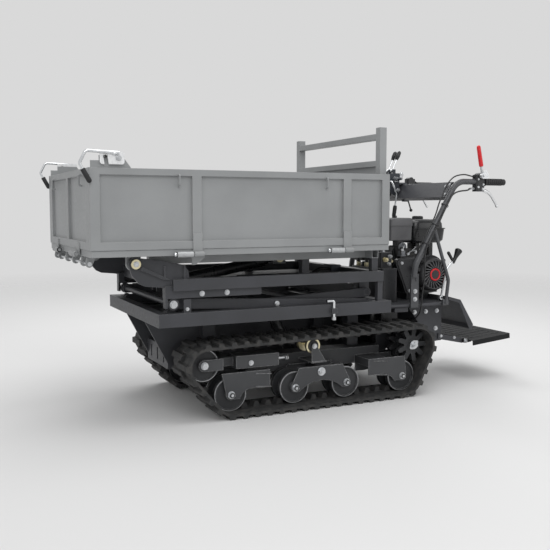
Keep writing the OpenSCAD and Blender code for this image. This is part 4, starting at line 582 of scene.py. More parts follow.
# Bolts on one side from rows of size, body, mm out from the machine's middle, and (along, up) places
def addSideBolts(rows, side):
    s = sides[side]
    for name, (size, body, reach, spots) in rows.items():
        addBolts("%s_%s" % (name, side), [(x, s * reach, z) for x, z in spots], (0, s, 0), size, body)


# Middle of a CAD node's box in mm, and half its height
def middleOf(node):
    low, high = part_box(node)
    mid = (low + high) / 2 * 1000
    return mid.x + bedFrontToMiddle, mid.y, mid.z, (high.z - low.z) * 500


# The same turned shape on the outer and the inner face of a wheel
def onBothFaces(profile, side, x, z, reach, around):
    s = sides[side]
    return [turned(profile, at(x, s * (trackMiddle + way * reach), z), (0, s * way, 0), around)
            for way in (1, -1)]


print("tools ready")

# Running gear hardware on both tracks; each face is in mm out from a track's middle
gearFaces = {"plate": 64, "arm": 62, "cap": 49, "hub": 63, "tube": 56, "screw": 32, "disc": 53}
gearLook = {"bogiePivot": (1078, 166), "tubeBolt": (722, 236), "screwX": 861, "earWasher": 4}
capProfile = [(0, 0), (27, 0), (27, 2.5), (24, 4), (0, 4)]
earShape = [*arc(20, 0, 9, -60, 60), *arc(0, 0, 22, 45, 135), *arc(-20, 0, 9, 120, 240),
            *arc(0, 0, 22, 225, 315)]
for side, s in sides.items():
    out = (0, s, 0)
    face = {part: s * (trackMiddle + reach) for part, reach in gearFaces.items()}
    frontX, _, rollerZ, _ = middleOf("front_roller_" + side)
    rearX = middleOf("rear_roller_" + side)[0]
    idlerX, _, idlerZ, _ = middleOf("idler_" + side)
    axles = [(x, face["plate"], z) for x, z in ((frontX, rollerZ), (rearX, rollerZ), (idlerX, idlerZ))]
    addBolts("axle_bolts_" + side, axles, out, "axle")
    pivotX, pivotZ = gearLook["bogiePivot"]
    addBolts("bogie_pivot_bolt_" + side, [(pivotX, face["plate"], pivotZ)], out, "pivot")
    bogieX = [middleOf("bogie_%s_roller_%s" % (end, side))[0] for end in ("front", "rear")]
    bogieAxles = [(x, face["plate"], rollerZ) for x in bogieX]
    addBolts("bogie_axle_bolts_" + side, bogieAxles, out, "axle", "bogie_" + side)
    carrierX, _, carrierZ, _ = middleOf("carrier_roller_" + side)
    addBolts("carrier_axle_bolt_" + side, [(carrierX, face["arm"], carrierZ)], out, "plate")
    caps = onBothFaces(capProfile, side, carrierX, carrierZ, gearFaces["cap"], 40)
    addPiece("carrier_roller_caps_" + side, caps, blackAbs, "carrier_roller_" + side)
    # drive sprocket: cut washer with two ears under a large nut
    driveX, _, driveZ, _ = middleOf("sprocket_" + side)
    washer = cutPlate(earShape, gearLook["earWasher"], lambda u, v, w: at(
        driveX + u * 0.8 - v * 0.6, face["hub"] + s * w, driveZ + u * 0.6 + v * 0.8))
    addPiece("sprocket_washer_" + side, [washer], brightZinc, "sprocket_" + side, bevel=0.6)
    nutAt = (driveX, face["hub"] + s * gearLook["earWasher"], driveZ)
    addBolts("sprocket_nut_" + side, [nutAt], out, "wheel", "sprocket_" + side)
    # track tensioner: locking bolt on its tube and the long adjusting screw behind it
    tubeX, tubeZ = gearLook["tubeBolt"]
    addBolts("tensioner_bolt_" + side, [(tubeX, face["tube"], tubeZ)], out, "plate")
    screwAt = at(gearLook["screwX"], face["screw"], idlerZ)
    screw = [turned([(0, 0), (7.6, 0), (7.6, 42), (13.4, 42), (13.4, 45), (0, 45)], screwAt, (1, 0, 0), 20),
             turned([(0, 45), (12.2, 45), (12.2, 56), (10, 58), (0, 58)], screwAt, (1, 0, 0), 6)]
    addPiece("tensioner_screw_" + side, screw, brightZinc)

# The belt rubs the edge of each wheel disc bright
rimLook = {"wide": 3.4, "proud": 0.35}
for wheel in ("idler", "front_roller", "rear_roller", "bogie_front_roller", "bogie_rear_roller"):
    for side in sides:
        body = "%s_%s" % (wheel, side)
        x, _, z, radius = middleOf(body)
        proud, inner = rimLook["proud"], radius - rimLook["wide"]
        profile = [(inner, 0), (inner, proud), (radius - 0.6, proud), (radius + proud, -0.6),
                   (radius + proud, -6), (radius - 1, -6), (radius - 1, 0)]
        rings = onBothFaces(profile, side, x, z, gearFaces["disc"], 56)
        addPiece("%s_rim_%s" % (wheel, side), rings, wornSteel, body)
print("running gear dressed")

# Corner latches: slotted plate, bent rod and rubber sleeve
latchLook = {"face": 455.4, "thick": 5, "rod": 6, "rodOut": 4.8, "bend": 16, "sleeve": 10}
latchShape = [*arc(130, 1137.5, 10, 0, 90), *arc(52, 1137.5, 10, 90, 180), *arc(52, 1107.5, 10, 180, 270),
              (60.5, 1097.5), *arc(64, 1128.5, 9.5, 219, -20), (77, 1097.5), *arc(130, 1107.5, 10, 270, 360)]
for side, s in sides.items():
    body = "latch_" + side
    front = latchLook["face"] + latchLook["thick"]
    rodPlane = (0, s * (front + latchLook["rodOut"]), 0)
    plate = uprightPlate(latchShape, latchLook["thick"], s * latchLook["face"], s)
    addPiece("latch_plate_" + side, [plate], whiteZinc, body, [body], 1)
    bent = beside(rodPlane, ((118, 1142.5), (-14, 1148.5), (-39, 1098.5), (-2, 1032.5)))
    rod = swept(filleted(bent, latchLook["bend"], 8), latchLook["rod"], 18)
    weldAt = beside(rodPlane, [(100, 1140)])[0]
    weld = turned([(0, -9), (5, -8), (7.4, -3), (7.4, 3), (5, 8), (0, 9)], weldAt, (1, 0, 0), 14)
    addPiece("latch_rod_" + side, [rod, weld], hardChrome, body)
    sleeve = swept(beside(rodPlane, ((-27, 1078), (-25.6, 1075.5), (-4.2, 1036.5), (-2, 1032.5))),
                   [8.4] + [latchLook["sleeve"]] * 3, 20, True)
    addPiece("latch_sleeve_" + side, [sleeve], softRubber, body)
    pin = turned([(0, 0), (6.2, 0), (6.2, 18), (5, 19.5), (0, 19.5)], at(64, s * 445, 1128.5), (0, s, 0), 28)
    addPiece("latch_pin_" + side, [pin], blackSteel, "side_" + side)
    addBolts("latch_bolt_" + side, [(116, s * front, 1122.5)], (0, s, 0), "plate", body)

# Hinges: barrels on their pins, plated along the sides and painted on the gate
posts = (424, 1150)  # where a side's posts start
hingeLook = {"barrel": 12.6, "half": 35, "chamfer": 1.5, "pin": 6.4, "z": 736, "y": 468, "behindPost": 39}
barrelProfile = chamfered(hingeLook["barrel"], -hingeLook["half"], hingeLook["half"], hingeLook["chamfer"])
pinProfile = [(0, -47), (8.6, -47), (9.6, -45), (9.6, -40), (hingeLook["pin"], -39),
              (hingeLook["pin"], 84), (0, 84)]
for side, s in sides.items():
    middles = [at(post - hingeLook["behindPost"], s * hingeLook["y"], hingeLook["z"]) for post in posts]
    barrels = [turned(barrelProfile, middle, (1, 0, 0), 28) for middle in middles]
    addPiece("side_hinge_barrels_" + side, barrels, dullZinc, "bed")
    pins = [turned(pinProfile, middle, (1, 0, 0), 20) for middle in middles]
    addPiece("side_hinge_pins_" + side, pins, hardChrome, "bed")
gateBarrels = [turned(barrelProfile, at(-14, y, hingeLook["z"]), (0, 1, 0), 28) for y in (172.5, -172.5)]
addPiece("gate_hinge_barrels", gateBarrels, bedEnamel, "bed")

# Lugs with a bar under the bed's front edge, as stops for the dropped gate
stopLook = {"x": 16, "barZ": 700, "thick": 8, "bar": 6, "collar": 9, "reach": 362}
stopX, stopZ, reach = stopLook["x"], stopLook["barZ"], stopLook["reach"]
lugShape = [*arc(stopX, stopZ, 15, 180, 360), (stopX + 30, 730), (stopX - 10, 730)]
lugs = [uprightPlate(lugShape, stopLook["thick"], y - stopLook["thick"] / 2)
        for y in (-350, -250, -80, 80, 250, 350)]
addPiece("gate_stop_lugs", lugs, bedEnamel, "bed", bevel=1)
halfBar = [(0, reach), (stopLook["collar"], reach), (stopLook["collar"], reach - 8),
           (stopLook["bar"], reach - 8)]
bar = [(radius, -along) for radius, along in halfBar] + halfBar[::-1]
addPiece("gate_stop_bar", [turned(bar, at(stopX, 0, stopZ), (0, 1, 0), 20)], brightZinc, "bed")

# Rope hooks on the sides and the gate: mm out from the tubes' faces, and height
hookLook = {"wire": 3.8, "bend": 7, "sideFace": 454}
hookSteps = ((-8, 1061.5), (10, 1061.5), (10, 1020.5), (-3, 1014.5))


def ropeHook(place):
    return swept(filleted([place(out, z) for out, z in hookSteps], hookLook["bend"]), hookLook["wire"], 12)


for side, s in sides.items():
    hooks = [ropeHook(lambda out, z: at(x, s * (hookLook["sideFace"] + out), z)) for x in (366, 1062)]
    addPiece("rope_hooks_" + side, hooks, dullZinc, "side_" + side)
gateHooks = [ropeHook(lambda out, z: at(-out, y, z)) for y in (-304.6, 304.6)]
addPiece("gate_rope_hooks", gateHooks, dullZinc, "front_gate")
print("bed hardware done")

# Bolts and pins on the lift, seen from the sides
liftBolts = {
    "tip_pivot_bolt": ("plate", "lift_frame", 408.5, [(195, 697)]),
    "roller_track_bolts": ("plate", "lift_frame", 404, [(481, 563), (596, 563)]),
    "scissor_roller_bolt": ("axle", "scissor_outer", 395, [(356.3, 521)]),
    "scissor_pin_bolt": ("plate", "scissor_inner", 367, [(855, 496)]),
    "stop_bracket_bolt": ("small", "carrier", 407, [(414, 500)]),
}
for side, s in sides.items():
    washer = turned([(7, 0), (21, 0), (21, 2), (19.5, 3.5), (7, 3.5)], at(195, s * 405, 697), (0, s, 0), 40)
    addPiece("tip_pivot_washer_" + side, [washer], yellowZinc, "lift_frame")
    addSideBolts(liftBolts, side)
addBolts("tip_ram_pin", [(1033, y, 678) for y in (-36, 36)], [near, (0, 1, 0)], "tip", "bed", yellowZinc)
frameSpots = {300: ((1666, 467), (1666, 507)), 200: ((1738, 384), (1810, 384), (1882, 384), (1876, 290))}
framePlaces = [(x, y, z) for reach, spots in frameSpots.items() for y in (-reach, reach) for x, z in spots]
frameFacings = [(0, y / abs(y), 0) for _, y, _ in framePlaces]
addBolts("frame_bolts", framePlaces, frameFacings, "plate", replaced=["fasteners"])
# web between the inner arms, near their upper pivots
webLook = {"x": 1297, "half": 317, "low": 500, "high": 560, "corner": 12, "thick": 5}
webShape = roundedBox(-webLook["half"], webLook["half"], webLook["low"], webLook["high"], webLook["corner"])
web = crossPlate(webShape, webLook["thick"], webLook["x"])
addPiece("scissor_web", [web], frameEnamel, "scissor_inner", bevel=1)
# oil block for the tipping ram on the lift frame, with two steel pipes
oilBlock = {"x": 1318, "y": -62, "low": 587.5, "top": 640, "pipe": 6}
block = lofted(oilBlock["x"], oilBlock["y"], [(oilBlock["low"], 30, 42, 4), (oilBlock["top"] - 3, 30, 42, 4),
                                              (oilBlock["top"], 27, 39, 4)])
addPiece("oil_block", [block], valveEnamel, "lift_frame", sharp=30)
pipeSteps = ((1290, 620), (1240, 620), (1200, 598), (790, 598))
pipes = [swept(filleted(beside((0, y, 0), pipeSteps), 26), oilBlock["pipe"], 14) for y in (-84, -58)]
addPiece("oil_pipes", pipes, blackSteel, "lift_frame")
# transport pin with a bent handle, in its guide on the near rail
transportPin = {"place": (1118, -428, 501), "radius": 6.6}
pinPath = filleted(beside(transportPin["place"], ((-38, 0), (0, 0), (0, -87))), 9)
addPiece("transport_pin", [swept(pinPath, transportPin["radius"], 16)], hardChrome)
collarAt = beside(transportPin["place"], [(0, -89)])[0]
collar = turned([(6.8, 0), (10, 0), (10, 14), (6.8, 14)], collarAt, (0, 0, 1), 20)
addPiece("transport_pin_collar", [collar], brightZinc)
print("lift hardware done")

# Recoil starter: ribbed cover with vanes, a red ring and a pull grip
recoil = {"place": (1866, -200, 577), "vanes": 22, "inner": 35, "outer": 74, "lean": 0.42, "thick": 5,
          "deep": 14, "sunk": 4.5}
recoilCentre = at(*recoil["place"])
shell = turned([(33, -7), (33, 1), (36, 3.5), (38.5, 3.5), (38.5, -36), (72, -36), (72, 1.5), (76, 3.6),
                (80, 2.6), (84, -1.5), (88, -12), (88, -44), (33, -44)], recoilCentre, near, 96)
addPiece("recoil_shell", [shell], grayAbs, replaced=["recoil_cover"])
# A black ring on the shell's floor under the vanes: painted shade for the deep openings into the fan housing
shadeRing = turned([(38, -35.6), (38, -33), (72.4, -33), (72.4, -35.6)], recoilCentre, near, 72)
addPiece("recoil_screen", [shadeRing], hoseRubber)


# Vanes round a hub: leaning blades instanced on a ring of points
def vaneTree():
    tree, inlet, keys = startTree("leaning_vanes", [
        "Count", "Ring radius", "Length", "Thickness", "Depth", "Lean"])
    ring = addNode(tree, "GeometryNodeMeshCircle", {"fill_type": "NONE"}, {
        "Vertices": inlet.outputs["Count"], "Radius": inlet.outputs["Ring radius"]})
    size = addNode(tree, "ShaderNodeCombineXYZ", {}, {
        "X": inlet.outputs["Length"], "Y": inlet.outputs["Thickness"], "Z": inlet.outputs["Depth"]})
    blade = addNode(tree, "GeometryNodeMeshCube", {}, {"Size": size.outputs[0], "Vertices X": 4})
    spot = addNode(tree, "GeometryNodeInputPosition")
    outward = addNode(tree, "FunctionNodeAlignRotationToVector", {"axis": "X", "pivot_axis": "Z"}, {
        "Vector": spot.outputs[0]})
    turn = twisted(tree, outward.outputs[0], inlet.outputs["Lean"])
    endTree(tree, inlet, ring.outputs[0], blade.outputs["Mesh"], {"Rotation": turn})
    return tree, keys


vaneSizes = {"Count": recoil["vanes"], "Ring radius": (recoil["inner"] + recoil["outer"]) / 2000,
             "Length": (recoil["outer"] - recoil["inner"]) / 1000 / math.cos(recoil["lean"]),
             "Thickness": recoil["thick"] / 1000, "Depth": recoil["deep"] / 1000, "Lean": recoil["lean"]}
vanes = grown("vanes", vaneTree(), [(0, 0, 0)], vaneSizes, slateAbs)
vaneCentre = recoilCentre + Vector((0, recoil["sunk"] / 1000, 0))
vanes.transform(Matrix.Translation(vaneCentre) @ Matrix.Rotation(math.pi / 2, 4, "X"))
addPiece("recoil_vanes", vanes, slateAbs)
ring = turned([(24, 2), (24, 5.2), (25.5, 6), (31, 6), (33, 4.6), (33, 2)], recoilCentre, near, 64)
addPiece("recoil_ring", [ring], redVinyl)
button = turned([(0, -6), (24.2, -6), (24.2, 3.6), (21, 4.6), (0, 4.6)], recoilCentre, near, 48)
addPiece("recoil_button", [button], grayAbs)
boss = turned([(0, 0), (14, 0), (12, 16), (0, 16)], at(1784, -174, 603), (-1, 0, 0.25), 24)
grip = swept(filleted([at(1764, -200, 606), at(1762, -174, 608), at(1764, -148, 606)], 30, 4), 9, 16, True)
addPiece("starter_grip", [boss, grip], softRubber)
recoilLugs = ((1795, 650), (1938, 648), (1800, 502), (1934, 506))
for k, (x, z) in enumerate(recoilLugs):
    lug = turned([(0, -30), (10, -30), (10, -16), (8, -14), (0, -14)], at(x, recoil["place"][1], z), near, 20)
    addPiece("recoil_lug_%d" % k, [lug], blackAbs)
recoilScrews = [(x, recoil["place"][1] + 14, z) for x, z in recoilLugs]
addBolts("recoil_screws", recoilScrews, near, "tiny", material=blackSteel)
print("starter done")

# Valve levers: plated rods in a clevis, with fat knobs
valveLook = {"x": 1850.3, "y": {"lift_valve_lever": 224.5, "tip_valve_lever": 185.5}, "z": 1138, "rod": 5.2,
             "knob": 12.5}
for lever, y in valveLook["y"].items():
    pivot, fat = (valveLook["x"], y, valveLook["z"]), valveLook["knob"]
    clevis = turned([(0, -6.5), (8.5, -6.5), (9.5, -5), (9.5, 5), (8.5, 6.5), (0, 6.5)], at(*pivot),
                    (0, 1, 0), 20)
    rod = swept(beside(pivot, ((0, 0), (16.5, 36), (34, 75))), valveLook["rod"], 14)
    addPiece(lever + "_rod", [clevis, rod], hardChrome, lever, [lever])
    knob = swept(beside(pivot, ((29, 63), (29.6, 65), (38, 84), (46.4, 102))),
                 [6.5, 9, fat, fat - 1], 20, True)
    addPiece(lever + "_knob", [knob], shinyAbs, lever)

# Clutch lever: plated stem in a dipped sleeve, on its bracket
clutch = {"place": (2058, -331, 1094), "stem": 6.2, "sleeve": 11.2, "bracket": 3}
clutchX, clutchY, clutchZ = clutch["place"]
stem = swept(filleted(beside(clutch["place"], ((0, 0), (-8, 54), (-12, 74))), 30, 4), clutch["stem"], 14)
eye = turned(chamfered(14, -5.5, 6.5, 1), at(*clutch["place"]), (0, 1, 0), 28)
addPiece("clutch_stem", [stem, eye], brightZinc, "clutch_lever", ["clutch_lever"])
sleeve = swept(beside(clutch["place"], ((-7.6, 48), (-8, 50), (-9, 55), (-28, 146))),
               [8.6, 10.4, clutch["sleeve"], clutch["sleeve"] - 0.8], 24, True)
addPiece("clutch_sleeve", [sleeve], redVinyl, "clutch_lever")
bracketShape = [*arc(clutchX, clutchZ, 15, 150, 270), *arc(clutchX + 24, clutchZ - 2, 13, 270, 360),
                *arc(clutchX + 14, clutchZ + 24, 8, 20, 140)]
bracket = uprightPlate(bracketShape, clutch["bracket"], clutchY - 9, -1)
addPiece("clutch_bracket", [bracket], brightZinc, bevel=0.8)
addBolts("clutch_pivot_bolt", [(clutchX, clutchY - 9 - clutch["bracket"], clutchZ)], near, "small")

# Turning brakes: tapered cast levers with a ball end; screws of the housings, and the cables' adjusters
brakeLook = {"x": 2070, "y": 302, "z": 1026, "bend": 84, "root": 10, "taper": 3.4, "ball": 8.6}
brakeBolts = {"brake_pivot_screw": ("small", "carrier", 322, [(2070, 1026)]),
              "perch_screws": ("tiny", "carrier", 322, [(2042, 1078), (2074, 1050), (2042, 1036)])}
ballTurns = [math.pi * k / 10 for k in range(11)]
ballProfile = [(brakeLook["ball"] * math.sin(a), -brakeLook["ball"] * math.cos(a)) for a in ballTurns]
adjusterProfile = [(0, 0), (8, 0), (8, 7), (5.6, 8), (5.6, 22), (4.6, 24), (0, 24)]
for side, s in sides.items():
    lever = "brake_lever_" + side
    pivot = (brakeLook["x"], s * brakeLook["y"], brakeLook["z"])
    path = filleted(beside(pivot, ((0, 0), (66, -20), (116, -88))), brakeLook["bend"], 12)
    last = len(path) - 1
    blade = swept(path, [brakeLook["root"] - brakeLook["taper"] * k / last for k in range(last + 1)], 16)
    ball = turned(ballProfile, path[-1], (0, 1, 0), 20)
    eye = turned(chamfered(11, -6.8, 6.8, 1), at(*pivot), (0, 1, 0), 28)
    addPiece(lever + "_blade", [blade, ball, eye], polishedAlloy, lever, [lever])
    addSideBolts(brakeBolts, side)
    adjuster = turned(adjusterProfile, at(2029, s * brakeLook["y"], 1028), (-1, 0, 0), 6)
    addPiece("cable_adjuster_" + side, [adjuster], brightZinc)

# Gear lever: cranked rod with a flared knob and a small release beside it
gearLever = {"place": (1870, -250, 459), "rod": 6.4}
stemPath = filleted(beside(gearLever["place"], ((0, 0), (34, 150), (72, 186))), 40, 8)
stem = swept(stemPath, gearLever["rod"], 16)
hub = turned(chamfered(12, -6.5, 6.5, 1), at(*gearLever["place"]), (0, 1, 0), 28)
addPiece("gear_stem", [stem, hub], hardChrome, "gear_lever", ["gear_lever"])
knob = turned([(0, -14), (8.4, -14), (9.6, -11), (9.6, 2), (10.6, 20), (15, 40), (19.6, 57), (19.4, 63),
               (15, 68), (0, 69.6)], beside(gearLever["place"], [(80, 192)])[0], (0.5, 0, 0.866), 32)
release = swept(beside(gearLever["place"], ((76, 188), (72, 193), (64, 204), (44, 234))),
                [5, 6, 7.5, 8.5], 16, True)
addPiece("gear_knob", [knob, release], shinyAbs, "gear_lever")
print("controls done")

# Fuel tank: two pressed halves on a flange, on two straps, with a ribbed cap
tank = {"x": 1846, "y": -62, "low": 743, "seam": 817, "top": 868, "capX": 1894, "capY": -2}
low, seam, top = tank["low"], tank["seam"], tank["top"]
tankSections = [
    [(low, 82, 91, 30), (low + 5, 96, 105, 36), (low + 16, 106, 115, 40), (seam, 111, 120, 40)],
    [(seam, 113, 122, 42), (seam + 1, 116, 125, 42), (seam + 4.4, 116, 125, 42), (seam + 5.4, 113, 122, 42)],
    [(seam + 5, 104, 113, 40), (top - 22, 102, 111, 40), (top - 10, 97, 106, 38), (top - 3, 86, 95, 36),
     (top, 70, 79, 30)]]
halves = [lofted(tank["x"], tank["y"], sections) for sections in tankSections]
straps = [lofted(x, -42, [(643, 14, 40, 3), (low + 4, 14, 40, 3)]) for x in (1840, 1926)]
addPiece("fuel_tank_shell", halves + straps, shinyAbs, replaced=["fuel_tank"], sharp=50)
ribbed = lobed([30 if k % 2 else 28.2 for k in range(48)])
capSide = cutPlate(ribbed, 13, lambda u, v, w: at(tank["capX"] + u, tank["capY"] + v, top + w))
capAt = at(tank["capX"], tank["capY"], top)
capTop = turned([(0, 12), (28, 12), (27, 15.5), (18, 17), (0, 17)], capAt, (0, 0, 1), 40)
addPiece("fuel_cap", [capSide, capTop], blackAbs)

# Air cleaner: box, lipped lid and a wing nut
cleaner = {"x": 1656, "y": -126, "low": 759, "lid": 841, "top": 877}
low, lid, top = cleaner["low"], cleaner["lid"], cleaner["top"]
box = lofted(cleaner["x"], cleaner["y"], [(low, 60, 58, 8), (low + 5, 66.5, 64.5, 10), (lid, 68, 66, 10)])
cover = lofted(cleaner["x"], cleaner["y"], [
    (lid - 6, 69.5, 67.5, 12), (lid - 5, 71, 69, 12), (top - 9, 71, 69, 12), (top - 2.5, 67.5, 65.5, 12),
    (top, 60, 58, 12)])
neck = lofted(1708, -86, [(729, 20, 25, 6), (low + 2, 20, 25, 6)])
addPiece("air_cleaner_case", [box, cover, neck], slateAbs, replaced=["air_cleaner"], sharp=30)
wings = lobed([10 + 4 * math.cos(math.radians(18 * k)) for k in range(60)])
nut = cutPlate(wings, 12, lambda u, v, w: at(cleaner["x"] + u, cleaner["y"] + v, top - 0.5 + w))
addPiece("air_cleaner_nut", [nut], blackAbs, bevel=1.2)

# Cooling shroud between the starter and the cylinder, with the governor's rods and carburettor above it
shroudLook = {"near": -150, "thick": 36, "bevel": 7}
shroudShape = [*arc(1684, 640, 26, 205, 95), *arc(1790, 648, 24, 85, 0), *arc(1796, 496, 18, 0, -90),
               *arc(1738, 496, 20, 270, 205)]
shroud = uprightPlate(shroudShape, shroudLook["thick"], shroudLook["near"])
addPiece("cooling_shroud", [shroud], engineEnamel, bevel=shroudLook["bevel"], sharp=50)
shroudScrews = [(x, shroudLook["near"], z) for x, z in ((1690, 640), (1740, 492))]
addBolts("shroud_screws", shroudScrews, near, "small")
governorY = -128
governorShape = [(1694, 664), (1806, 660), (1806, 690), *arc(1790, 700, 12, 0, 90), (1720, 718),
                 *arc(1704, 712, 10, 90, 180)]
addPiece("governor_bracket", [uprightPlate(governorShape, 3, governorY)], blackSteel, bevel=0.8)
governorScrews = [(x, governorY, z) for x, z in ((1706, 708), (1744, 686), (1792, 694))]
addBolts("governor_screws", governorScrews, near, "small")
rods = [swept(filleted([at(1706, -133, 712), at(1716, -133, 734), at(1716, -96, 734)], 6), 2.4, 10),
        swept(filleted([at(1744, -134, 690), at(1792, -134, 724), at(1800, -110, 724)], 8), 2.4, 10)]
spring = [at(1750 + k * 0.42, -136 + 4 * math.cos(k * 0.7), 699 + 4 * math.sin(k * 0.7) + k * 0.05)
          for k in range(95)]
addPiece("governor_rods", rods + [swept(spring, 0.9, 6)], brightZinc)
bowl = turned([(0, 0), (17, 0), (20, 4), (20, 24), (23, 26), (23, 32), (0, 32)], at(1714, -112, 706),
              (0, 0, -1))
throat = turned([(0, -46), (21, -46), (21, -6), (25, -5), (25, 0), (0, 0)], at(1714, -120, 722), near)
addPiece("carburettor", [bowl, throat], castAlloy)


# Hydraulic fittings in plated steel, stepped between hexagons and rounds
def fitting(place, way, scale):
    steps = [(plainEnds(13, -4, 6), 6), (plainEnds(9, 6, 12), 20), (plainEnds(11.5, 12, 22), 6),
             ([(0, 22), (6.5, 22), (6.5, 28), (5, 30), (0, 30)], 18)]
    return [turned([(r * scale, a * scale) for r, a in step], at(*place), way, corners)
            for step, corners in steps]


fittings = {
    "pump_fittings_yellow": [((1577, -156, 662), near, 1), ((1600, -40, 630), near, 1.1),
                             ((1626, -120, 650), (1, 0, 0), 0.9)],
    "pump_fittings_bright": [((1606, -156, 678), near, 0.8), ((1592, -120, 699), (0, 0, 1), 0.9),
                             ((1600, -156, 640), near, 0.7)],
    "valve_fittings": [((1884, 182, 1096), (1, 0, 0), 0.9), ((1904, 182, 1097), (0.3, 0, 0.95), 1.2),
                       ((1850.3, 160, 1090), near, 1.2)],
}
for name, rows in fittings.items():
    shapes = [shape for row in rows for shape in fitting(*row)]
    addPiece(name, shapes, yellowZinc if name.endswith("yellow") else brightZinc)
addBolts("valve_plug", [(1873, 157, 1030)], near, "plate")
# bent lever that hangs under the valve
hangingLever = {"y": 128, "rod": 5, "grip": 11.5, "bend": 18}
leverPlane = (0, hangingLever["y"], 0)
bent = [at(1822, 160, 1078)] + beside(leverPlane, ((1812, 1078), (1844, 1004), (1832, 920)))
rod = swept(filleted(bent, hangingLever["bend"]), hangingLever["rod"], 14)
addPiece("hanging_lever_rod", [rod], hardChrome)
fat = hangingLever["grip"]
grip = swept(beside(leverPlane, ((1835.2, 942), (1834.8, 939.5), (1833, 926), (1827, 886))),
             [8, fat - 1, fat, fat - 0.5], 20, True)
addPiece("hanging_lever_grip", [grip], softRubber)
ribs = [turned(plainEnds(28, 0, 4), at(1592, 40, 617 + 5 * k), (0, 0, 1), 30) for k in range(4)]
addPiece("oil_filler_cap", ribs, blackAbs)
print("engine dressed")


# Hoses and brake cables lie where the CAD's do; the clutch cable is in the scene only
def addCord(name, points, diameter, replaced=()):
    path = flowing([at(*p) for p in points], 5)
    cord = addPiece(name, [swept(path, diameter / 2, 14)], hoseRubber, "carrier", replaced)
    return path


hoseRoutes = {
    "pressure_hose": [(1570, 84, 617.5), (1570, 84, 657), (1572, 150, 760), (1612, 206, 860),
                      (1716, 212, 956), (1796, 208, 1004), (1832.3, 205, 1026), (1832.3, 205, 1051.5)],
    "return_hose": [(1562, -10, 617.5), (1562, -10, 657), (1570, 0, 770), (1630, 70, 890), (1744, 150, 962),
                    (1820, 190, 992), (1868.3, 205, 1026), (1868.3, 205, 1051.5)]}
cableRoute = [(2028.5, 302, 1028), (1999, 302, 1028), (1974, 320, 1020), (1872.9, 324, 994),
              (1794.3, 324, 860), (1712.1, 324, 720), (1710, 320, 590), (1708, 304, 480), (1706, 292, 400),
              (1694, 250, 352), (1694, 200.5, 352)]
clutchRoute = [(2030, -302, 1088), (2005, -302, 1094), (1958, -304, 1100), (1898, -306, 1088),
               (1854, -306, 1050), (1828, -304, 997), (1805, -304, 953), (1788, -304, 905), (1766, -304, 860),
               (1724, -304, 790), (1688, -300, 725), (1680, -277, 660), (1690, -250, 600), (1700, -230, 540),
               (1704, -214, 480), (1704, -208, 442)]
cordLook = {"hose": 18, "brake": 8, "clutch": 7}  # mm thick
hoseEnds = []
for name, route in hoseRoutes.items():
    hosePath = addCord(name, route, cordLook["hose"], ["hoses"])
    for end, inner in ((hosePath[0], hosePath[2]), (hosePath[-1], hosePath[-3])):
        way = inner - end
        hoseEnds += [turned([(0, 0.4), (11.5, 0.4), (11.5, 20), (10.4, 22), (0, 22)], end, way, 24),
                     turned(plainEnds(13.6, 0.4, 9), end, way, 6)]
addPiece("hose_ferrules", hoseEnds, yellowZinc)
for side, s in sides.items():
    addCord("brake_cable_" + side, [(x, s * y, z) for x, y, z in cableRoute], cordLook["brake"], ["hoses"])
addCord("clutch_cable", clutchRoute, cordLook["clutch"])

# Ties hold the cables to the sloping tubes
slopeX, slopeZ = 0.506, 0.8625  # the way the tubes rise
barAlong = Vector((slopeX, 0, slopeZ))
barAcross = Vector((slopeZ, 0, -slopeX))
tieLook = {"heights": (940, 840, 745), "wire": 1.7, "lock": 3.6, "tube": (1865.9, 302, 982), "lean": 0.587}
barX, barY, barZ = tieLook["tube"]
tieShape = [*arc(0, 0, 17, 58, 302, 18), *arc(22, 0, 5.6, -58, 58, 8)]
for side, s in sides.items():
    ties = []
    for z in tieLook["heights"]:
        middle = at(barX + (z - barZ) * tieLook["lean"], s * barY, z)
        loop = [middle + Vector((0, s * u / 1000, 0)) + barAcross * v / 1000
                for u, v in tieShape + tieShape[:1]]
        lock = turned(plainEnds(tieLook["lock"], -4, 4), middle - barAcross * 0.019, barAlong, 8)
        ties += [swept(loop, tieLook["wire"], 8), lock]
    addPiece("cable_ties_" + side, ties, blackAbs)

# Screws of the control panel, bolts of the footplate and of the arms under the guard
panelSpots = {-268: (18, 74), -238: (66,), 238: (66,), 268: (18, 74)}  # mm across, and up the sloping tubes
panelPlaces = [(1864.2 + up * slopeX, y, 983 + up * slopeZ) for y, ups in panelSpots.items() for up in ups]
addBolts("panel_screws", panelPlaces, (-slopeZ, 0, slopeX), "small")
rearBolts = {"footplate_hinge_bolt": ("plate", "carrier", 224, [(2062, 212)]),
             "guard_arm_bolts": ("small", "carrier", 208, [(1908, 247), (1996, 232)])}
for side in sides:
    addSideBolts(rearBolts, side)

# Thin plates on the chassis: splash plate by the far track, rear plate, and dark sheets under the side
# plates, which are painted shade closing the gaps under the gearbox
thinPlates = {"thick": 3, "splashY": 197, "shadeSheetY": 200.2, "rearX": 1880, "rearThick": 4}
splashShape = [(600, 236), (1520, 236), (1520, 328), (1752, 328), (1706, 404), (1706, 425), (1440, 425),
               (1440, 413), (600, 413)]
splash = uprightPlate(splashShape, thinPlates["thick"], thinPlates["splashY"])
addPiece("splash_plate", [splash], frameEnamel, bevel=0.6)
rearShape = roundedBox(-192, 192, 244, 424, 14)
rearPlate = crossPlate(rearShape, thinPlates["rearThick"], thinPlates["rearX"])
addPiece("chassis_rear_plate", [rearPlate], frameEnamel, bevel=1)
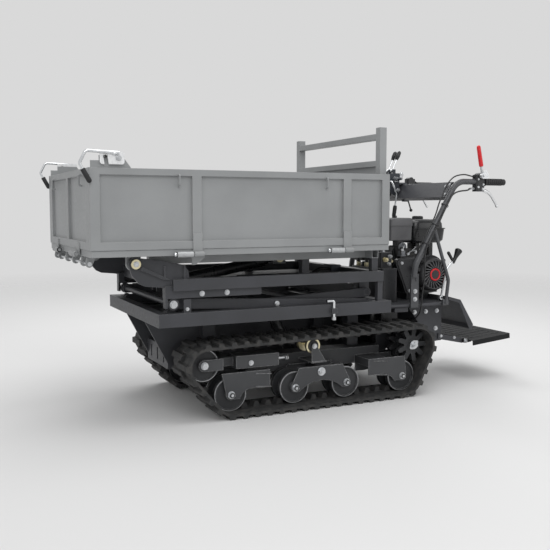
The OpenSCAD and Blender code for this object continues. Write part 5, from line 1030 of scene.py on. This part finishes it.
# dark sheets below the side plates' lower edges and the gearbox: painted shade where the underside lies in
# shadow
shadeSheetShape = [(1480, 138), (1690, 138), (1752, 196), (1752, 214), (1480, 196)]
shadeSheets = [uprightPlate(shadeSheetShape, thinPlates["thick"], s * thinPlates["shadeSheetY"], s) for s in (1, -1)]
addPiece("chassis_skirts", shadeSheets, frameEnamel, bevel=0.6)
print("cords and fixings done")


# Weld beads: overlapping drops along seams, of uneven size
def weldTree():
    tree, inlet, keys = startTree("weld_beads", ["Bead radius", "Pitch"])
    seam = addNode(tree, "GeometryNodeMeshToCurve", {}, {0: inlet.outputs["Geometry"]})
    spaced = addNode(tree, "GeometryNodeResampleCurve", {"mode": "LENGTH"}, {
        "Curve": seam.outputs[0], "Length": inlet.outputs["Pitch"]})
    drop = addNode(tree, "GeometryNodeMeshIcoSphere", {}, {
        "Radius": inlet.outputs["Bead radius"], "Subdivisions": 2})
    uneven = addNode(tree, "FunctionNodeRandomValue", {"data_type": "FLOAT"}, {
        "Min": 0.8, "Max": 1.15, "Seed": 5})
    endTree(tree, inlet, spaced.outputs[0], drop.outputs["Mesh"], {"Scale": uneven.outputs["Value"]})
    return tree, keys


weldBeads = weldTree()
weldLook = {"Bead radius": 0.0028, "Pitch": 0.0026}


# Seams on one side, mm out from the machine's middle, each from an (along, up) spot on by a step
def addWelds(name, side, spots, reach, step, material, body):
    y = sides[side] * reach
    points = []
    for x, z in spots:
        points += [at(x, y, z), at(x + step[0], y, z + step[1])]
    edges = [(2 * k, 2 * k + 1) for k in range(len(spots))]
    mesh = grown(name, weldBeads, points, weldLook, material, edges=edges)
    addPiece("%s_%s" % (name, side), mesh, material, body)


postWide = 41
postEdges = [x for post in posts for x in (post - 0.5, post + postWide + 0.5)]
postSpots = [(x, z) for x in postEdges for z in (800, 912, 1010)]
bracketSpots = ((742, 187), (742, 128), (1370, 189), (1370, 121))
footSpots = ((1643, 594), (1671, 594))
for side in sides:
    addWelds("side_welds", side, postSpots, 442.5, (0, 34), bedEnamel, "side_" + side)
    addWelds("bracket_welds", side, bracketSpots, 384.3, (74, -6), plateEnamel, "carrier")
    addWelds("handlebar_foot_welds", side, footSpots, 300.5, (0, -34), frameEnamel, "carrier")
print("welds done")

# Camera where the photograph was taken from
cameraLook = {"place": (-1.7978, -3.4591, 0.9222), "yaw": 25.83, "pitch": 4.93, "lens": 50.0}
cameraData = bpy.data.cameras.new("photo_camera")
cameraData.lens = cameraLook["lens"]
cameraData.sensor_width = 36
camera = bpy.data.objects.new("photo_camera", cameraData)
bpy.context.scene.collection.objects.link(camera)
camera.location = cameraLook["place"]
camera.rotation_euler = (math.radians(90 - cameraLook["pitch"]), 0, math.radians(-cameraLook["yaw"]))
bpy.context.scene.camera = camera

# Pale floor that fades into the backdrop
floorLook = {"half": 12.0, "fadeFrom": 2.6, "fadeTo": 8.0, "base": "#d4d4d4", "rough": 0.9}
half = floorLook["half"]
floorMesh = bpy.data.meshes.new("floor")
corners = [(-half, -half, 0), (half, -half, 0), (half, half, 0), (-half, half, 0)]
floorMesh.from_pydata(corners, [], [(0, 1, 2, 3)])
floor = bpy.data.objects.new("floor", floorMesh)
bpy.context.scene.collection.objects.link(floor)
floorMaterial, floorTree, floorCoords = newMaterial("floor_paper_matt")
away = addNode(floorTree, "ShaderNodeVectorMath", {"operation": "LENGTH"}, {0: floorCoords}).outputs["Value"]
fade = addNode(floorTree, "ShaderNodeMapRange", {}, {
    "Value": away, "From Min": floorLook["fadeFrom"], "From Max": floorLook["fadeTo"],
    "To Min": 1.0, "To Max": 0.0})
paper = addNode(floorTree, "ShaderNodeBsdfPrincipled", {}, {
    "Base Color": toLinear(floorLook["base"]), "Roughness": floorLook["rough"], "Alpha": fade.outputs[0]})
addNode(floorTree, "ShaderNodeOutputMaterial", {}, {"Surface": paper.outputs["BSDF"]})
floorMesh.materials.append(floorMaterial)

# Soft studio light: an even dome and four round lamps, in front, beside, above and behind
worldLook = {"dome": 0.75, "backdrop": "#d9d9d9"}
world = bpy.data.worlds.new("studio")
bpy.context.scene.world = world
world.use_nodes = True
worldTree = world.node_tree
worldTree.nodes.clear()
dome = addNode(worldTree, "ShaderNodeBackground", {}, {"Color": (1, 1, 1, 1), "Strength": worldLook["dome"]})
seen = addNode(worldTree, "ShaderNodeBackground", {}, {
    "Color": toLinear(worldLook["backdrop"]), "Strength": 1.0})
rays = addNode(worldTree, "ShaderNodeLightPath")
direct = addNode(worldTree, "ShaderNodeMath", {"operation": "MAXIMUM"}, {
    0: rays.outputs["Is Camera Ray"], 1: rays.outputs["Is Transmission Ray"]})
either = addNode(worldTree, "ShaderNodeMath", {"operation": "MAXIMUM"}, {
    0: direct.outputs[0], 1: rays.outputs["Is Glossy Ray"]})
shown = addNode(worldTree, "ShaderNodeMixShader", {}, {
    0: either.outputs[0], 1: dome.outputs[0], 2: seen.outputs[0]})
addNode(worldTree, "ShaderNodeOutputWorld", {}, {"Surface": shown.outputs[0]})

lampLook = {"key": {"place": (-1.6, -4.2, 4.0), "size": 3.0, "watts": 62},
            "fill": {"place": (3.4, -3.0, 2.2), "size": 2.6, "watts": 18},
            "top": {"place": (0.2, -0.4, 5.0), "size": 4.0, "watts": 90},
            "back": {"place": (1.4, 3.6, 3.6), "size": 2.6, "watts": 60}}
lampTarget = Vector((0, 0, 0.5))
for name, look in lampLook.items():
    lamp = bpy.data.lights.new("lamp_" + name, "AREA")
    lamp.shape = "DISK"
    lamp.size = look["size"]
    lamp.energy = look["watts"]
    holder = bpy.data.objects.new("lamp_" + name, lamp)
    bpy.context.scene.collection.objects.link(holder)
    holder.location = look["place"]
    holder.rotation_euler = (lampTarget - holder.location).to_track_quat("-Z", "Y").to_euler()
bpy.context.scene.view_settings.view_transform = "Standard"
print("camera, floor and lamps set")
